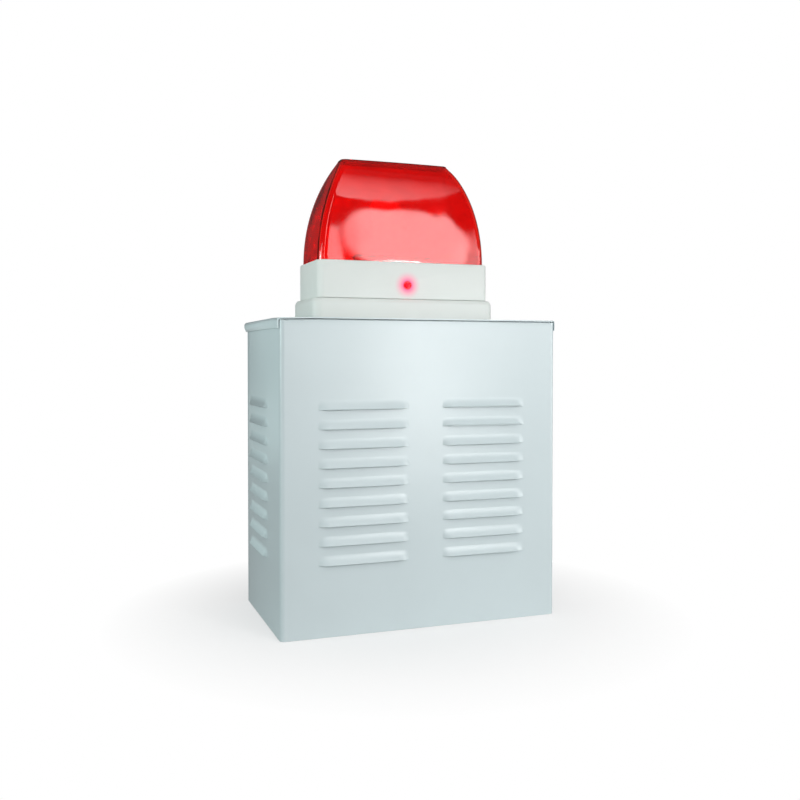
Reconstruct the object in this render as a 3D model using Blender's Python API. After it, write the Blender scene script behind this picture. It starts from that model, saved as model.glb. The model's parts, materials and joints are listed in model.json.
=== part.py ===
"""Outdoor alarm siren: a louvred sheet-steel case with a flashing beacon on top.

The case stands with its back plate against a wall. The front and sides are one wrapped cover that
hooks under the top panel and swings up about its top front edge. Metres, +Z up, front towards -Y,
origin under the middle of the case at floor level.
"""

import math

import bmesh
import bpy
from mathutils import Matrix, Vector

# Case
CASE_WIDTH = 0.285
CASE_DEPTH = 0.158
CASE_HEIGHT = 0.300
SHEET = 0.0012
PLATE = 0.0015
GAP = 0.0003
BEND_RADIUS = 0.005
BEND_STEPS = 3

# Louvres
LOUVRE_ROWS = 9
LOUVRE_PITCH = 0.0185
LOUVRE_HEIGHT = 0.0095
LOUVRE_OUT = 0.0045
LOUVRE_CHEEK = 0.010
FIRST_LIP_BELOW_TOP = 0.086
FRONT_LOUVRES = ((-0.1065, -0.0160), (0.0185, 0.1073))
SIDE_LOUVRE_FROM_FRONT = (0.054, 0.142)

# Where the case stands: with its louvres, the case is centred front to back
FRONT_Y = -(CASE_DEPTH - LOUVRE_OUT) / 2
BACK_Y = FRONT_Y + CASE_DEPTH
PLATE_FRONT_Y = BACK_Y - PLATE
TOP_UNDER_Z = CASE_HEIGHT - SHEET

# Cover
COVER_TOP_Z = TOP_UNDER_Z - GAP
COVER_BACK_Y = PLATE_FRONT_Y - GAP
RETURN_FLANGE = 0.008
HOOK_LIP = 0.014
HOOK_SLOT = (0.0030, 0.0115)
HOOK_X = 0.080
HOOK_WIDTH = 0.024
FLOOR_Z = 0.008
FLOOR_FLANGE = 0.010
COVER_SCREW = (0.085, 0.052)
BRACKET_Z = 0.0125

# Top panel
DRIP_HEIGHT = 0.010
DRIP_SPLAY = 0.0015

# Back plate openings and tamper switches, as (x, z), and (x, y) for the cover's switch
CABLE_X = -0.066
CABLE_Z = 0.105
WALL_PIN = (-0.112, 0.150)
TAMPER = (-0.104, 0.030)
TAMPER_BODY_Z = 0.020

# Beacon
BEACON_Y = FRONT_Y + 0.0925
PLINTH_HALF = (0.0978, 0.0425)
PLINTH_Z = (CASE_HEIGHT + 0.0015, 0.3220)
COLLAR_HALF = (0.0925, 0.0395)
COLLAR_Z = (0.3223, 0.3600)
LENS_HALF = (0.0900, 0.0362)
LENS_ROOT_Z = 0.3520
LENS_TOP_Z = 0.4672
LENS_WALL = 0.0025
LENS_SIDE_ARC = 0.1966
LENS_DEPTH_ZERO = 0.111
LENS_ROUND = 0.009
BOLT_X = 0.080
BOLT_DY = 0.026
LAMP_X = 0.0020
LAMP_Z = 0.3363
LAMP_RADIUS = 0.0025

# Horn siren
HORN = (-0.066, 0.205)
HORN_MOUTH_Y = -0.050
HORN_RADIUS = 0.052
HORN_DEPTH = 0.062

# Battery
BATTERY_SIZE = (0.151, 0.065, 0.094)
BATTERY_X = 0.040
SHELF_Z = 0.024

# Control board
BOARD_CENTRE = (0.072, 0.208)
BOARD_SIZE = (0.100, 0.0016, 0.090)
BOARD_STANDOFF = 0.012

PAINT = ("case_paint", (0.72, 0.77, 0.78), 0.42, 0.0)
ZINC = ("zinc_plate", (0.72, 0.72, 0.70), 0.35, 1.0)
WHITE = ("beacon_white", (0.86, 0.89, 0.89), 0.45, 0.0)
RED = ("lens_red", (0.75, 0.03, 0.02), 0.08, 0.0)
LAMP = ("lamp_red", (0.95, 0.05, 0.08), 0.15, 0.0)
RUBBER = ("black_rubber", (0.03, 0.03, 0.03), 0.8, 0.0)
HORN_GREY = ("horn_plastic", (0.30, 0.31, 0.32), 0.6, 0.0)
BATTERY_BLACK = ("battery_case", (0.05, 0.05, 0.06), 0.55, 0.0)
BOARD_GREEN = ("board_green", (0.04, 0.25, 0.12), 0.5, 0.0)
GLASS = ("clear_glass", (0.9, 0.93, 0.95), 0.05, 0.0)
CHROME = ("reflector_silver", (0.85, 0.85, 0.86), 0.15, 1.0)
RELAY_BLUE = ("relay_blue", (0.05, 0.15, 0.45), 0.5, 0.0)
TERMINAL_GREEN = ("terminal_green", (0.10, 0.45, 0.20), 0.5, 0.0)
SWITCH_BLACK = ("switch_black", (0.04, 0.04, 0.04), 0.5, 0.0)
SWITCH_CREAM = ("plunger_cream", (0.85, 0.80, 0.65), 0.4, 0.0)
LEAD_RED = ("lead_red", (0.65, 0.03, 0.03), 0.5, 0.0)
LEAD_BLACK = ("lead_black", (0.03, 0.03, 0.03), 0.5, 0.0)
LEAD_GREY = ("lead_grey", (0.40, 0.40, 0.42), 0.5, 0.0)


def material(spec):
    """A Principled material for (name, colour, roughness, metallic), made once."""
    name, colour, roughness, metallic = spec
    found = bpy.data.materials.get(name)
    if found:
        return found
    made = bpy.data.materials.new(name)
    made.use_nodes = True
    shader = made.node_tree.nodes["Principled BSDF"]
    shader.inputs["Base Color"].default_value = (*colour, 1.0)
    shader.inputs["Roughness"].default_value = roughness
    shader.inputs["Metallic"].default_value = metallic
    made.diffuse_color = (*colour, 1.0)
    return made


def finish(name, bm, spec, origin=(0.0, 0.0, 0.0), turn=None):
    """Make an object of a bmesh that is drawn about its own origin."""
    mesh = bpy.data.meshes.new(name)
    bm.to_mesh(mesh)
    bm.free()
    mesh.materials.append(material(spec))
    mesh.shade_smooth()
    mesh.set_sharp_from_angle(angle=math.radians(35))
    made = bpy.data.objects.new(name, mesh)
    bpy.context.scene.collection.objects.link(made)
    made.location = origin
    if turn is not None:
        made.rotation_euler = turn
    return made


def parent_to(empty, *pieces):
    """Hang pieces on an empty without moving them."""
    for piece in pieces:
        piece.parent = empty
        piece.matrix_parent_inverse = Matrix.Translation(empty.location).inverted()


def joint_empty(name, place):
    """An empty that marks a joint's axis."""
    made = bpy.data.objects.new(name, None)
    made.location = place
    made.empty_display_size = 0.02
    bpy.context.scene.collection.objects.link(made)
    return made


def cut(piece, cutter):
    """Cut a piece with a closed cutter that stays out of the render."""
    cutter.hide_render = True
    cutter.display_type = "WIRE"
    cutter.name = "cutter_" + cutter.name
    change = piece.modifiers.new("cut", "BOOLEAN")
    change.operation = "DIFFERENCE"
    change.object = cutter


def block(name, spec, low, high, bevel=0.0):
    """A box between two corners, its edges optionally bevelled."""
    low = Vector(low)
    high = Vector(high)
    bm = bmesh.new()
    bmesh.ops.create_cube(bm, size=1.0)
    bmesh.ops.scale(bm, vec=high - low, verts=bm.verts)
    if bevel:
        bmesh.ops.bevel(bm, geom=bm.edges[:], offset=bevel, affect="EDGES", segments=1, profile=0.5,
                        material=-1)
    return finish(name, bm, spec, (low + high) / 2)


def turned(name, spec, profile, origin, axis="Z", steps=16):
    """A solid of revolution: profile is (radius, height) points from one axis end to the other."""
    bm = bmesh.new()
    points = [bm.verts.new((radius, 0.0, height)) for radius, height in profile]
    edges = [bm.edges.new(pair) for pair in zip(points, points[1:])]
    bmesh.ops.spin(bm, geom=points + edges, cent=(0, 0, 0), axis=(0, 0, 1), angle=math.tau,
                   steps=steps, use_merge=True, use_duplicate=False)
    bmesh.ops.remove_doubles(bm, verts=bm.verts, dist=1e-6)
    bmesh.ops.recalc_face_normals(bm, faces=bm.faces)
    turns = {"Z": None, "-Z": (math.pi, 0, 0), "Y": (-math.pi / 2, 0, 0), "-Y": (math.pi / 2, 0, 0),
             "X": (0, math.pi / 2, 0)}
    return finish(name, bm, spec, origin, turns[axis])


def rod(name, spec, radius, length, origin, axis="Z", steps=12, bore=0.0):
    """A plain cylinder or tube that grows from its origin along an axis."""
    if bore:
        profile = [(bore, 0), (radius, 0), (radius, length), (bore, length), (bore, 0)]
    else:
        profile = [(0, 0), (radius, 0), (radius, length), (0, length)]
    return turned(name, spec, profile, origin, axis, steps)


def extruded(name, spec, outline, along, low, high, origin=(0.0, 0.0, 0.0)):
    """A flat outline grown along X (points are y, z) or along Z (points are x, y)."""
    place = {"X": lambda a, b: (low, a, b), "Z": lambda a, b: (a, b, low)}[along]
    bm = bmesh.new()
    face = bm.faces.new([bm.verts.new(place(a, b)) for a, b in outline])
    grown = bmesh.ops.extrude_face_region(bm, geom=[face])
    moved = [item for item in grown["geom"] if isinstance(item, bmesh.types.BMVert)]
    reach = {"X": (high - low, 0, 0), "Z": (0, 0, high - low)}[along]
    bmesh.ops.translate(bm, verts=moved, vec=reach)
    bmesh.ops.recalc_face_normals(bm, faces=bm.faces)
    return finish(name, bm, spec, origin)


def folded(name, spec, profile, low_x, high_x, thickness):
    """A sheet folded along X: profile is (y, z) points of its outer face."""
    bm = bmesh.new()
    left = [bm.verts.new((low_x, y, z)) for y, z in profile]
    right = [bm.verts.new((high_x, y, z)) for y, z in profile]
    for index in range(len(profile) - 1):
        bm.faces.new((left[index], left[index + 1], right[index + 1], right[index]))
    piece = finish(name, bm, spec)
    thicken(piece, thickness)
    return piece


def thicken(piece, thickness):
    """Give an open sheet its thickness, inwards from its outer face."""
    wall = piece.modifiers.new("wall", "SOLIDIFY")
    wall.thickness = thickness
    wall.offset = -1.0
    wall.use_even_offset = True
    wall.use_quality_normals = True


def rounded_outline(half_x, half_y, radius, steps=4):
    """Points of a rectangle with round corners, counter-clockwise seen from above."""
    points = []
    for turn, (sx, sy) in enumerate(((1, 1), (-1, 1), (-1, -1), (1, -1))):
        for step in range(steps + 1):
            angle = math.pi / 2 * (turn + step / steps)
            points.append((sx * (half_x - radius) + radius * math.cos(angle),
                           sy * (half_y - radius) + radius * math.sin(angle)))
    return points


def lofted(name, spec, rings, origin, closed=False, steps=4, caps=(True, True)):
    """Bridge rings of (half_x, half_y, corner radius, z) into a solid; closed joins last to first."""
    bm = bmesh.new()
    loops = []
    for half_x, half_y, radius, z in rings:
        loops.append([bm.verts.new((x, y, z)) for x, y in rounded_outline(half_x, half_y, radius, steps)])
    pairs = list(zip(loops, loops[1:]))
    if closed:
        pairs.append((loops[-1], loops[0]))
    for lower, upper in pairs:
        for index in range(len(lower)):
            after = (index + 1) % len(lower)
            bm.faces.new((lower[index], lower[after], upper[after], upper[index]))
    if not closed and caps[0]:
        bm.faces.new(loops[0][::-1])
    if not closed and caps[1]:
        bm.faces.new(loops[-1])
    return finish(name, bm, spec, origin)


def lead(name, spec, points, radius, sides=2):
    """A lead along a smooth curve through hand-set points."""
    points = [Vector(point) for point in points]
    ends = [points[0] * 2 - points[1], *points, points[-1] * 2 - points[-2]]
    smooth = []
    for before, start, end, after in zip(ends, ends[1:], ends[2:], ends[3:]):
        count = max(2, round((end - start).length / (radius * 5)))
        for step in range(count):
            t = step / count
            smooth.append(0.5 * (2 * start + (end - before) * t
                                 + (2 * before - 5 * start + 4 * end - after) * t ** 2
                                 + (3 * start - before - 3 * end + after) * t ** 3))
    smooth.append(points[-1])
    curve = bpy.data.curves.new(name, "CURVE")
    curve.dimensions = "3D"
    curve.bevel_depth = radius
    curve.bevel_resolution = sides
    curve.use_fill_caps = True
    spline = curve.splines.new("POLY")
    spline.points.add(len(smooth) - 1)
    for point, place in zip(spline.points, smooth):
        point.co = (*place, 1.0)
    curve.materials.append(material(spec))
    made = bpy.data.objects.new(name, curve)
    bpy.context.scene.collection.objects.link(made)
    return made


# ---------------------------------------------------------------- cover


def louvre_columns(along, start, end, place, outward):
    """Columns (along, x, y, nx, ny, weight, louvre) of one louvre: its ends lie flat."""
    stops = ((start, 0.0), (start + LOUVRE_CHEEK, 1.0), (end - LOUVRE_CHEEK, 1.0), (end, 0.0))
    return [(*place(stop), *outward, weight, along) for stop, weight in stops]


def wrap_columns():
    """Columns of the cover's wrap in plan, from the left return flange round to the right one."""
    half = CASE_WIDTH / 2
    flange_x = half - RETURN_FLANGE
    left = [(-flange_x, COVER_BACK_Y, 0, 1, 0.0, None), (-half, COVER_BACK_Y, -1, 0, 0.0, None)]
    near, far = SIDE_LOUVRE_FROM_FRONT
    left += louvre_columns("left", -far, -near, lambda s: (-half, FRONT_Y - s), (-1, 0))
    for step in range(BEND_STEPS + 1):
        angle = math.pi / 2 * step / BEND_STEPS
        normal = (-math.cos(angle), -math.sin(angle))
        centre = (-half + BEND_RADIUS, FRONT_Y + BEND_RADIUS)
        left.append((centre[0] + BEND_RADIUS * normal[0], centre[1] + BEND_RADIUS * normal[1],
                     *normal, 0.0, None))
    right = [(-x, y, -nx, ny, weight, "right" if louvre else None)
             for x, y, nx, ny, weight, louvre in reversed(left)]
    front = []
    for name, (start, end) in zip(("front_left", "front_right"), FRONT_LOUVRES):
        front += louvre_columns(name, start, end, lambda s: (s, FRONT_Y), (0, -1))
    return left + front + right


def wrap_rows():
    """Rows of the cover from the top down: (z, weight, is a lip)."""
    rows = [(COVER_TOP_Z, 0.0, False)]
    for index in range(LOUVRE_ROWS):
        lip = CASE_HEIGHT - FIRST_LIP_BELOW_TOP - index * LOUVRE_PITCH
        rows.append((lip + LOUVRE_HEIGHT, 0.0, False))
        rows.append((lip + 0.45 * LOUVRE_HEIGHT, 0.8, False))
        rows.append((lip, 1.0, True))
    rows.append((0.0, 0.0, False))
    return rows


def make_cover_wrap():
    """Front and sides: one sheet on a grid of rows and columns, slit under each louvre's lip."""
    columns = wrap_columns()
    bm = bmesh.new()
    above = []
    below = []
    for z, row_weight, lip in wrap_rows():
        hood = []
        panel = []
        for x, y, nx, ny, weight, _ in columns:
            out = LOUVRE_OUT * row_weight * weight
            hood.append(bm.verts.new((x + nx * out, y + ny * out, z)))
            panel.append(bm.verts.new((x, y, z)) if lip and weight else hood[-1])
        above.append(hood)
        below.append(panel)
    for upper, lower in zip(below, above[1:]):
        for column in range(len(columns) - 1):
            bm.faces.new((upper[column], lower[column], lower[column + 1], upper[column + 1]))
    front = [index for index, column in enumerate(columns) if str(column[5]).startswith("front")]
    fold = [above[0][index] for index in front]
    inner = [bm.verts.new(vert.co + Vector((0, HOOK_LIP, 0))) for vert in fold]
    for index in range(len(fold) - 1):
        bm.faces.new((fold[index], fold[index + 1], inner[index + 1], inner[index]))
    bmesh.ops.recalc_face_normals(bm, faces=bm.faces)
    if sum(face.calc_center_median().y * face.normal.y for face in bm.faces) < 0:
        bmesh.ops.reverse_faces(bm, faces=bm.faces)
    wrap = finish("cover_wrap", bm, PAINT)
    thicken(wrap, SHEET)
    for side in (-1, 1):
        slot = block(f"hook_slot_{side + 2}", PAINT,
                     (side * HOOK_X - HOOK_WIDTH / 2 - 0.003, FRONT_Y + HOOK_SLOT[0], 0.290),
                     (side * HOOK_X + HOOK_WIDTH / 2 + 0.003, FRONT_Y + HOOK_SLOT[1], 0.305))
        cut(wrap, slot)
    return wrap


def make_cover_floor():
    """Bottom panel: a shallow tray inside the wrap, its rear edge left flat."""
    half = CASE_WIDTH / 2 - SHEET - GAP
    front = FRONT_Y + SHEET + GAP
    rear = COVER_BACK_Y - SHEET - GAP
    radius = BEND_RADIUS - SHEET - GAP
    corner = [(half - radius + radius * math.cos(angle), front + radius - radius * math.sin(angle))
              for angle in (0.0, math.pi / 4, math.pi / 2)]
    outline = [(half, rear), *corner]
    outline += [(-x, y) for x, y in reversed(outline)]
    bm = bmesh.new()
    low = [bm.verts.new((x, y, FLOOR_Z)) for x, y in outline]
    high = [bm.verts.new((x, y, FLOOR_Z + FLOOR_FLANGE)) for x, y in outline]
    bm.faces.new(low)
    for index in range(len(low) - 1):
        bm.faces.new((low[index], low[index + 1], high[index + 1], high[index]))
    bmesh.ops.recalc_face_normals(bm, faces=bm.faces)
    bm.faces.ensure_lookup_table()
    if bm.faces[0].normal.z > 0:
        bmesh.ops.reverse_faces(bm, faces=bm.faces)
    floor = finish("cover_floor", bm, PAINT)
    thicken(floor, SHEET)
    for side in (-1, 1):
        x, y = side * COVER_SCREW[0], COVER_SCREW[1]
        cut(floor, rod(f"screw_hole_{side + 2}", PAINT, 0.0026, 0.01, (x, y, 0.004)))
        cut(floor, block(f"drain_{side + 2}", PAINT, (side * 0.03 - 0.012, -0.042, 0.004),
                         (side * 0.03 + 0.012, -0.038, 0.014)))
    return floor


def make_cover_screw(side):
    """Captive screw: a round head under the cover floor and its shank through it."""
    name = "cover_screw_left" if side < 0 else "cover_screw_right"
    top = FLOOR_Z - GAP
    profile = [(0, -0.0028), (0.0030, -0.0028), (0.0042, -0.0012), (0.0042, 0), (0.0020, 0),
               (0.0020, 0.0042), (0, 0.0042)]
    return turned(name, ZINC, profile, (side * COVER_SCREW[0], COVER_SCREW[1], top), steps=14)


# ---------------------------------------------------------------- chassis


def make_back_plate():
    """Flat plate with four keyholes, the cable hole and the wall pin's hole."""
    half = CASE_WIDTH / 2
    plate = block("back_plate", PAINT, (-half, PLATE_FRONT_Y, 0), (half, BACK_Y, TOP_UNDER_Z - GAP))
    for side in (-1, 1):
        for index, z in enumerate((0.040, 0.262)):
            x = side * 0.112
            key = f"keyhole_{side + 2}_{index}"
            cut(plate, rod(key, PAINT, 0.0045, 0.01, (x, BACK_Y - 0.005, z), "Y"))
            cut(plate, block(key + "_slot", PAINT, (x - 0.0022, BACK_Y - 0.005, z),
                             (x + 0.0022, BACK_Y + 0.005, z + 0.010)))
    cut(plate, rod("cable_hole", PAINT, 0.0125, 0.01, (CABLE_X, BACK_Y - 0.005, CABLE_Z), "Y", 20))
    cut(plate, rod("wall_pin_hole", PAINT, 0.0026, 0.01, (WALL_PIN[0], BACK_Y - 0.005, WALL_PIN[1]), "Y"))
    return plate


def make_top_panel():
    """Top sheet with clipped front corners and a drip flange down each side that splays to the rear."""
    front_half = CASE_WIDTH / 2 + GAP + SHEET
    rear_half = front_half + DRIP_SPLAY
    drip_z = CASE_HEIGHT - DRIP_HEIGHT
    sections = []
    for half, y in ((front_half, FRONT_Y), (rear_half, BACK_Y)):
        sections.append(((-half, y, drip_z), (-half, y, CASE_HEIGHT), (half, y, CASE_HEIGHT), (half, y, drip_z)))
    bm = bmesh.new()
    front, rear = [[bm.verts.new(point) for point in section] for section in sections]
    for index in range(3):
        bm.faces.new((front[index], front[index + 1], rear[index + 1], rear[index]))
    panel = finish("top_panel", bm, PAINT)
    thicken(panel, SHEET)
    for side in (-1, 1):
        corner = [(side * (front_half + 0.002), FRONT_Y - 0.002),
                  (side * (front_half - BEND_RADIUS - 0.002), FRONT_Y - 0.002),
                  (side * (front_half + 0.002), FRONT_Y + BEND_RADIUS + 0.002)]
        cut(panel, extruded(f"corner_{side + 2}", PAINT, corner, "Z", 0.285, 0.305))
    for index, (sx, sy) in enumerate(((1, 1), (-1, 1), (-1, -1), (1, -1))):
        cut(panel, rod(f"bolt_hole_{index}", PAINT, 0.0027, 0.01,
                       (sx * BOLT_X, BEACON_Y + sy * BOLT_DY, 0.295)))
    cut(panel, rod("beacon_cable_hole", PAINT, 0.0085, 0.01, (0, BEACON_Y, 0.295), steps=16))
    return panel


def make_cover_hook(side):
    """Hook under the top panel that passes through a slot in the cover's lip."""
    name = "cover_hook_left" if side < 0 else "cover_hook_right"
    top = TOP_UNDER_Z - GAP
    outline = [(0.0040, top), (0.0040, top - 0.0065), (0.0080, top - 0.0065), (0.0080, top - 0.0053),
               (0.0052, top - 0.0053), (0.0052, top)]
    return extruded(name, ZINC, outline, "X", -HOOK_WIDTH / 2, HOOK_WIDTH / 2, (side * HOOK_X, FRONT_Y, 0))


def make_grommet(name, place, axis, radius, sheet, outer_lip=True):
    """A rubber ring that grips a sheet hole with a lip on each side, drawn clear of the sheet."""
    lip = 0.0022
    bore = radius - 0.0030
    neck = radius - GAP
    near = -sheet / 2 - GAP
    far = sheet / 2 + GAP
    profile = [(bore, near - lip), (radius + 0.002, near - lip), (radius + 0.003, near), (neck, near)]
    if outer_lip:
        profile += [(neck, far), (radius + 0.003, far), (radius + 0.002, far + lip), (bore, far + lip)]
    else:
        profile += [(neck, sheet / 2 - GAP), (bore, sheet / 2 - GAP)]
    return turned(name, RUBBER, profile + profile[:1], place, axis, steps=16)


def make_cover_screw_bracket():
    """Angle along the foot of the back plate that takes the two cover screws."""
    rear = PLATE_FRONT_Y - GAP
    profile = ((COVER_SCREW[1] - 0.008, BRACKET_Z), (rear, BRACKET_Z), (rear, BRACKET_Z + 0.010))
    angle = folded("cover_screw_bracket", ZINC, profile, -0.100, 0.100, PLATE)
    for side in (-1, 1):
        cut(angle, rod(f"bracket_hole_{side + 2}", ZINC, 0.0018, 0.01,
                       (side * COVER_SCREW[0], COVER_SCREW[1], BRACKET_Z - 0.0035)))
    return angle


def make_weld_nut(side):
    """Nut on the screw bracket, over the hole."""
    name = "weld_nut_left" if side < 0 else "weld_nut_right"
    place = (side * COVER_SCREW[0], COVER_SCREW[1], BRACKET_Z + PLATE + GAP)
    return rod(name, ZINC, 0.0040, 0.0032, place, steps=6, bore=0.0018)


# ---------------------------------------------------------------- battery and electronics


def make_battery():
    """Sealed battery on its shelf, with tab terminals, a strap and a lid line."""
    width, depth, height = BATTERY_SIZE
    rear = PLATE_FRONT_Y - 0.006
    low = (BATTERY_X - width / 2, rear - depth, SHELF_Z + SHEET + GAP)
    high = (BATTERY_X + width / 2, rear, low[2] + height)
    block("battery", BATTERY_BLACK, low, high, 0.002)
    for name, side, spec in (("battery_terminal_red", -1, LEAD_RED), ("battery_terminal_black", 1, LEAD_BLACK)):
        x = BATTERY_X + side * 0.062
        block(name, ZINC, (x - 0.0024, rear - 0.014, high[2] + GAP),
              (x + 0.0024, rear - 0.0132, high[2] + 0.0065))
    return low, high


def make_battery_shelf(low, high):
    """Folded shelf under the battery: rear flange on the plate, lip in front of the battery."""
    rear = PLATE_FRONT_Y - GAP
    front = low[1] - GAP - SHEET
    profile = ((front, SHELF_Z + 0.014), (front, SHELF_Z), (rear, SHELF_Z), (rear, SHELF_Z + 0.016))
    return folded("battery_shelf", PAINT, profile, low[0] - 0.004, high[0] + 0.004, SHEET)


def make_battery_strap(low, high):
    """Steel strap over the battery's front and top, its foot on the back plate."""
    rear = PLATE_FRONT_Y - GAP
    front = low[1] - GAP
    top = high[2] + GAP
    thick = 0.001
    outline = [(front, SHELF_Z + 0.022), (front, top), (rear, top), (rear, top + 0.018),
               (rear - thick, top + 0.018), (rear - thick, top + thick), (front - thick, top + thick),
               (front - thick, SHELF_Z + 0.022)]
    return extruded("battery_strap", ZINC, outline, "X", -0.008, 0.008, (BATTERY_X, 0, 0))


def make_board():
    """Control board on four standoffs, with the parts that stand on it."""
    x, z = BOARD_CENTRE
    width, thick, height = BOARD_SIZE
    foot = PLATE_FRONT_Y - GAP
    rear = foot - BOARD_STANDOFF - GAP
    front = rear - thick
    block("control_board", BOARD_GREEN, (x - width / 2, front, z - height / 2),
          (x + width / 2, rear, z + height / 2))
    for index, (sx, sz) in enumerate(((1, 1), (-1, 1), (-1, -1), (1, -1))):
        rod(f"board_standoff_{index + 1}", ZINC, 0.003, BOARD_STANDOFF,
            (x + sx * (width / 2 - 0.005), foot, z + sz * (height / 2 - 0.005)), "-Y", 6)
    face = front - GAP
    block("terminal_block", TERMINAL_GREEN, (x - 0.040, face - 0.011, z - 0.042),
          (x + 0.030, face, z - 0.032), 0.0008)
    block("relay", RELAY_BLUE, (x - 0.040, face - 0.015, z + 0.012), (x - 0.021, face, z + 0.028), 0.0008)
    rod("capacitor", SWITCH_BLACK, 0.008, 0.026, (x - 0.005, face, z + 0.022), "-Y", 16)
    block("fuse_holder", SWITCH_BLACK, (x + 0.012, face - 0.009, z + 0.020),
          (x + 0.038, face, z + 0.029), 0.0012)
    return face


# ---------------------------------------------------------------- horn siren


def make_horn():
    """Horn siren on a bracket, its mouth towards the front louvres."""
    x, z = HORN
    wall = 0.0022
    throat = 0.011
    outer = []
    steps = 6
    for step in range(steps + 1):
        t = step / steps
        radius = throat + (HORN_RADIUS - throat) * (1 - math.sin(math.pi / 2 * t)) ** 1.4
        outer.append((radius, HORN_DEPTH * t))
    inner = [(max(radius - wall, 0.004), height) for radius, height in reversed(outer)]
    turned("horn_bell", HORN_GREY, outer + inner + outer[:1], (x, HORN_MOUTH_Y, z), "Y", 20)
    plug = [(0, 0), (0.006, 0.004), (0.0072, 0.012), (0.005, 0.030), (0, 0.044)]
    turned("phase_plug", HORN_GREY, plug, (x, HORN_MOUTH_Y + 0.012, z), "Y", 12)
    rear = HORN_MOUTH_Y + HORN_DEPTH + GAP
    body = [(0, 0), (0.020, 0), (0.031, 0.006), (0.033, 0.012), (0.033, 0.030), (0, 0.030)]
    turned("driver_housing", HORN_GREY, body, (x, rear, z), "Y", 20)
    cap = [(0, 0), (0.030, 0), (0.030, 0.006), (0.024, 0.010), (0, 0.010)]
    turned("driver_cap", HORN_GREY, cap, (x, rear + 0.030 + GAP, z), "Y", 20)
    return rear


def make_horn_bracket(rear):
    """U bracket over the driver: both legs reach it, the web lies on the back plate."""
    x, z = HORN
    web = PLATE_FRONT_Y - GAP
    inner = 0.033 + GAP
    thick = 0.002
    front = rear + 0.013
    outline = [(inner, front), (inner, web - thick), (-inner, web - thick), (-inner, front),
               (-inner - thick, front), (-inner - thick, web), (inner + thick, web),
               (inner + thick, front)]
    extruded("horn_bracket", ZINC, outline, "Z", -0.010, 0.010, (x, 0, z))
    for name, side in (("horn_screw_left", -1), ("horn_screw_right", 1)):
        profile = [(0, 0), (0.0045, 0), (0.0045, 0.002), (0.003, 0.0035), (0, 0.0035)]
        made = turned(name, ZINC, profile, (x + side * (inner + thick + GAP), front + 0.009, z), "X", 12)
        if side < 0:
            made.rotation_euler = (0, -math.pi / 2, 0)


# ---------------------------------------------------------------- tamper switches


def make_cover_tamper():
    """Plunger switch over the cover floor, on its own bracket."""
    x, y = TAMPER
    tip = FLOOR_Z + SHEET + GAP
    bm = bmesh.new()
    bmesh.ops.create_cube(bm, size=1.0)
    bmesh.ops.scale(bm, vec=(0.012, 0.012, 0.018), verts=bm.verts)
    body = finish("tamper_switch", bm, SWITCH_BLACK, (x, y, TAMPER_BODY_Z + 0.009))
    cut(body, rod("tamper_bore", SWITCH_BLACK, 0.0026, 0.016, (x, y, TAMPER_BODY_Z - 0.003)))
    axis = joint_empty("tamper_axis", (x, y, tip))
    plunger = rod("tamper_plunger", SWITCH_CREAM, 0.0022, 0.020, (x, y, tip))
    parent_to(axis, plunger)
    rear = PLATE_FRONT_Y - GAP
    low = TAMPER_BODY_Z + 0.018 + GAP
    outline = [(y - 0.006, low), (y - 0.006, low + SHEET), (rear - SHEET, low + SHEET),
               (rear - SHEET, low + 0.012), (rear, low + 0.012), (rear, low)]
    extruded("tamper_bracket", ZINC, outline, "X", -0.006, 0.006, (x, 0, 0))


def make_wall_tamper():
    """Switch behind the plate whose pin reaches the wall through a hole."""
    x, z = WALL_PIN
    rear = PLATE_FRONT_Y - GAP
    bm = bmesh.new()
    bmesh.ops.create_cube(bm, size=1.0)
    bmesh.ops.scale(bm, vec=(0.016, 0.014, 0.016), verts=bm.verts)
    body = finish("wall_tamper_switch", bm, SWITCH_BLACK, (x, rear - 0.007, z))
    cut(body, rod("wall_tamper_bore", SWITCH_BLACK, 0.0025, 0.012, (x, rear - 0.010, z), "Y"))
    tip = BACK_Y - 0.0001
    axis = joint_empty("wall_pin_axis", (x, tip, z))
    pin = rod("wall_tamper_pin", SWITCH_CREAM, 0.0020, 0.010, (x, tip, z), "-Y")
    parent_to(axis, pin)


# ---------------------------------------------------------------- beacon


def lens_rings():
    """Rings of the lens from its root to its ridge: arched sides, faces that lean in to the ridge."""
    rings = [(LENS_HALF[0] - 0.0002, LENS_HALF[1] - 0.0002, LENS_ROUND, LENS_ROOT_Z)]
    base = COLLAR_Z[1]
    steps = 9
    for step in range(steps + 1):
        rise = (LENS_TOP_Z - base) * math.sin(math.pi / 2 * step / steps)
        half_x = LENS_HALF[0] - (LENS_SIDE_ARC - math.sqrt(LENS_SIDE_ARC ** 2 - rise ** 2))
        half_y = LENS_HALF[1] * math.sqrt(max(0.0, 1 - (rise / LENS_DEPTH_ZERO) ** 3))
        rings.append((half_x, half_y, min(LENS_ROUND, half_y * 0.6), base + rise))
    return rings


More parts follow.
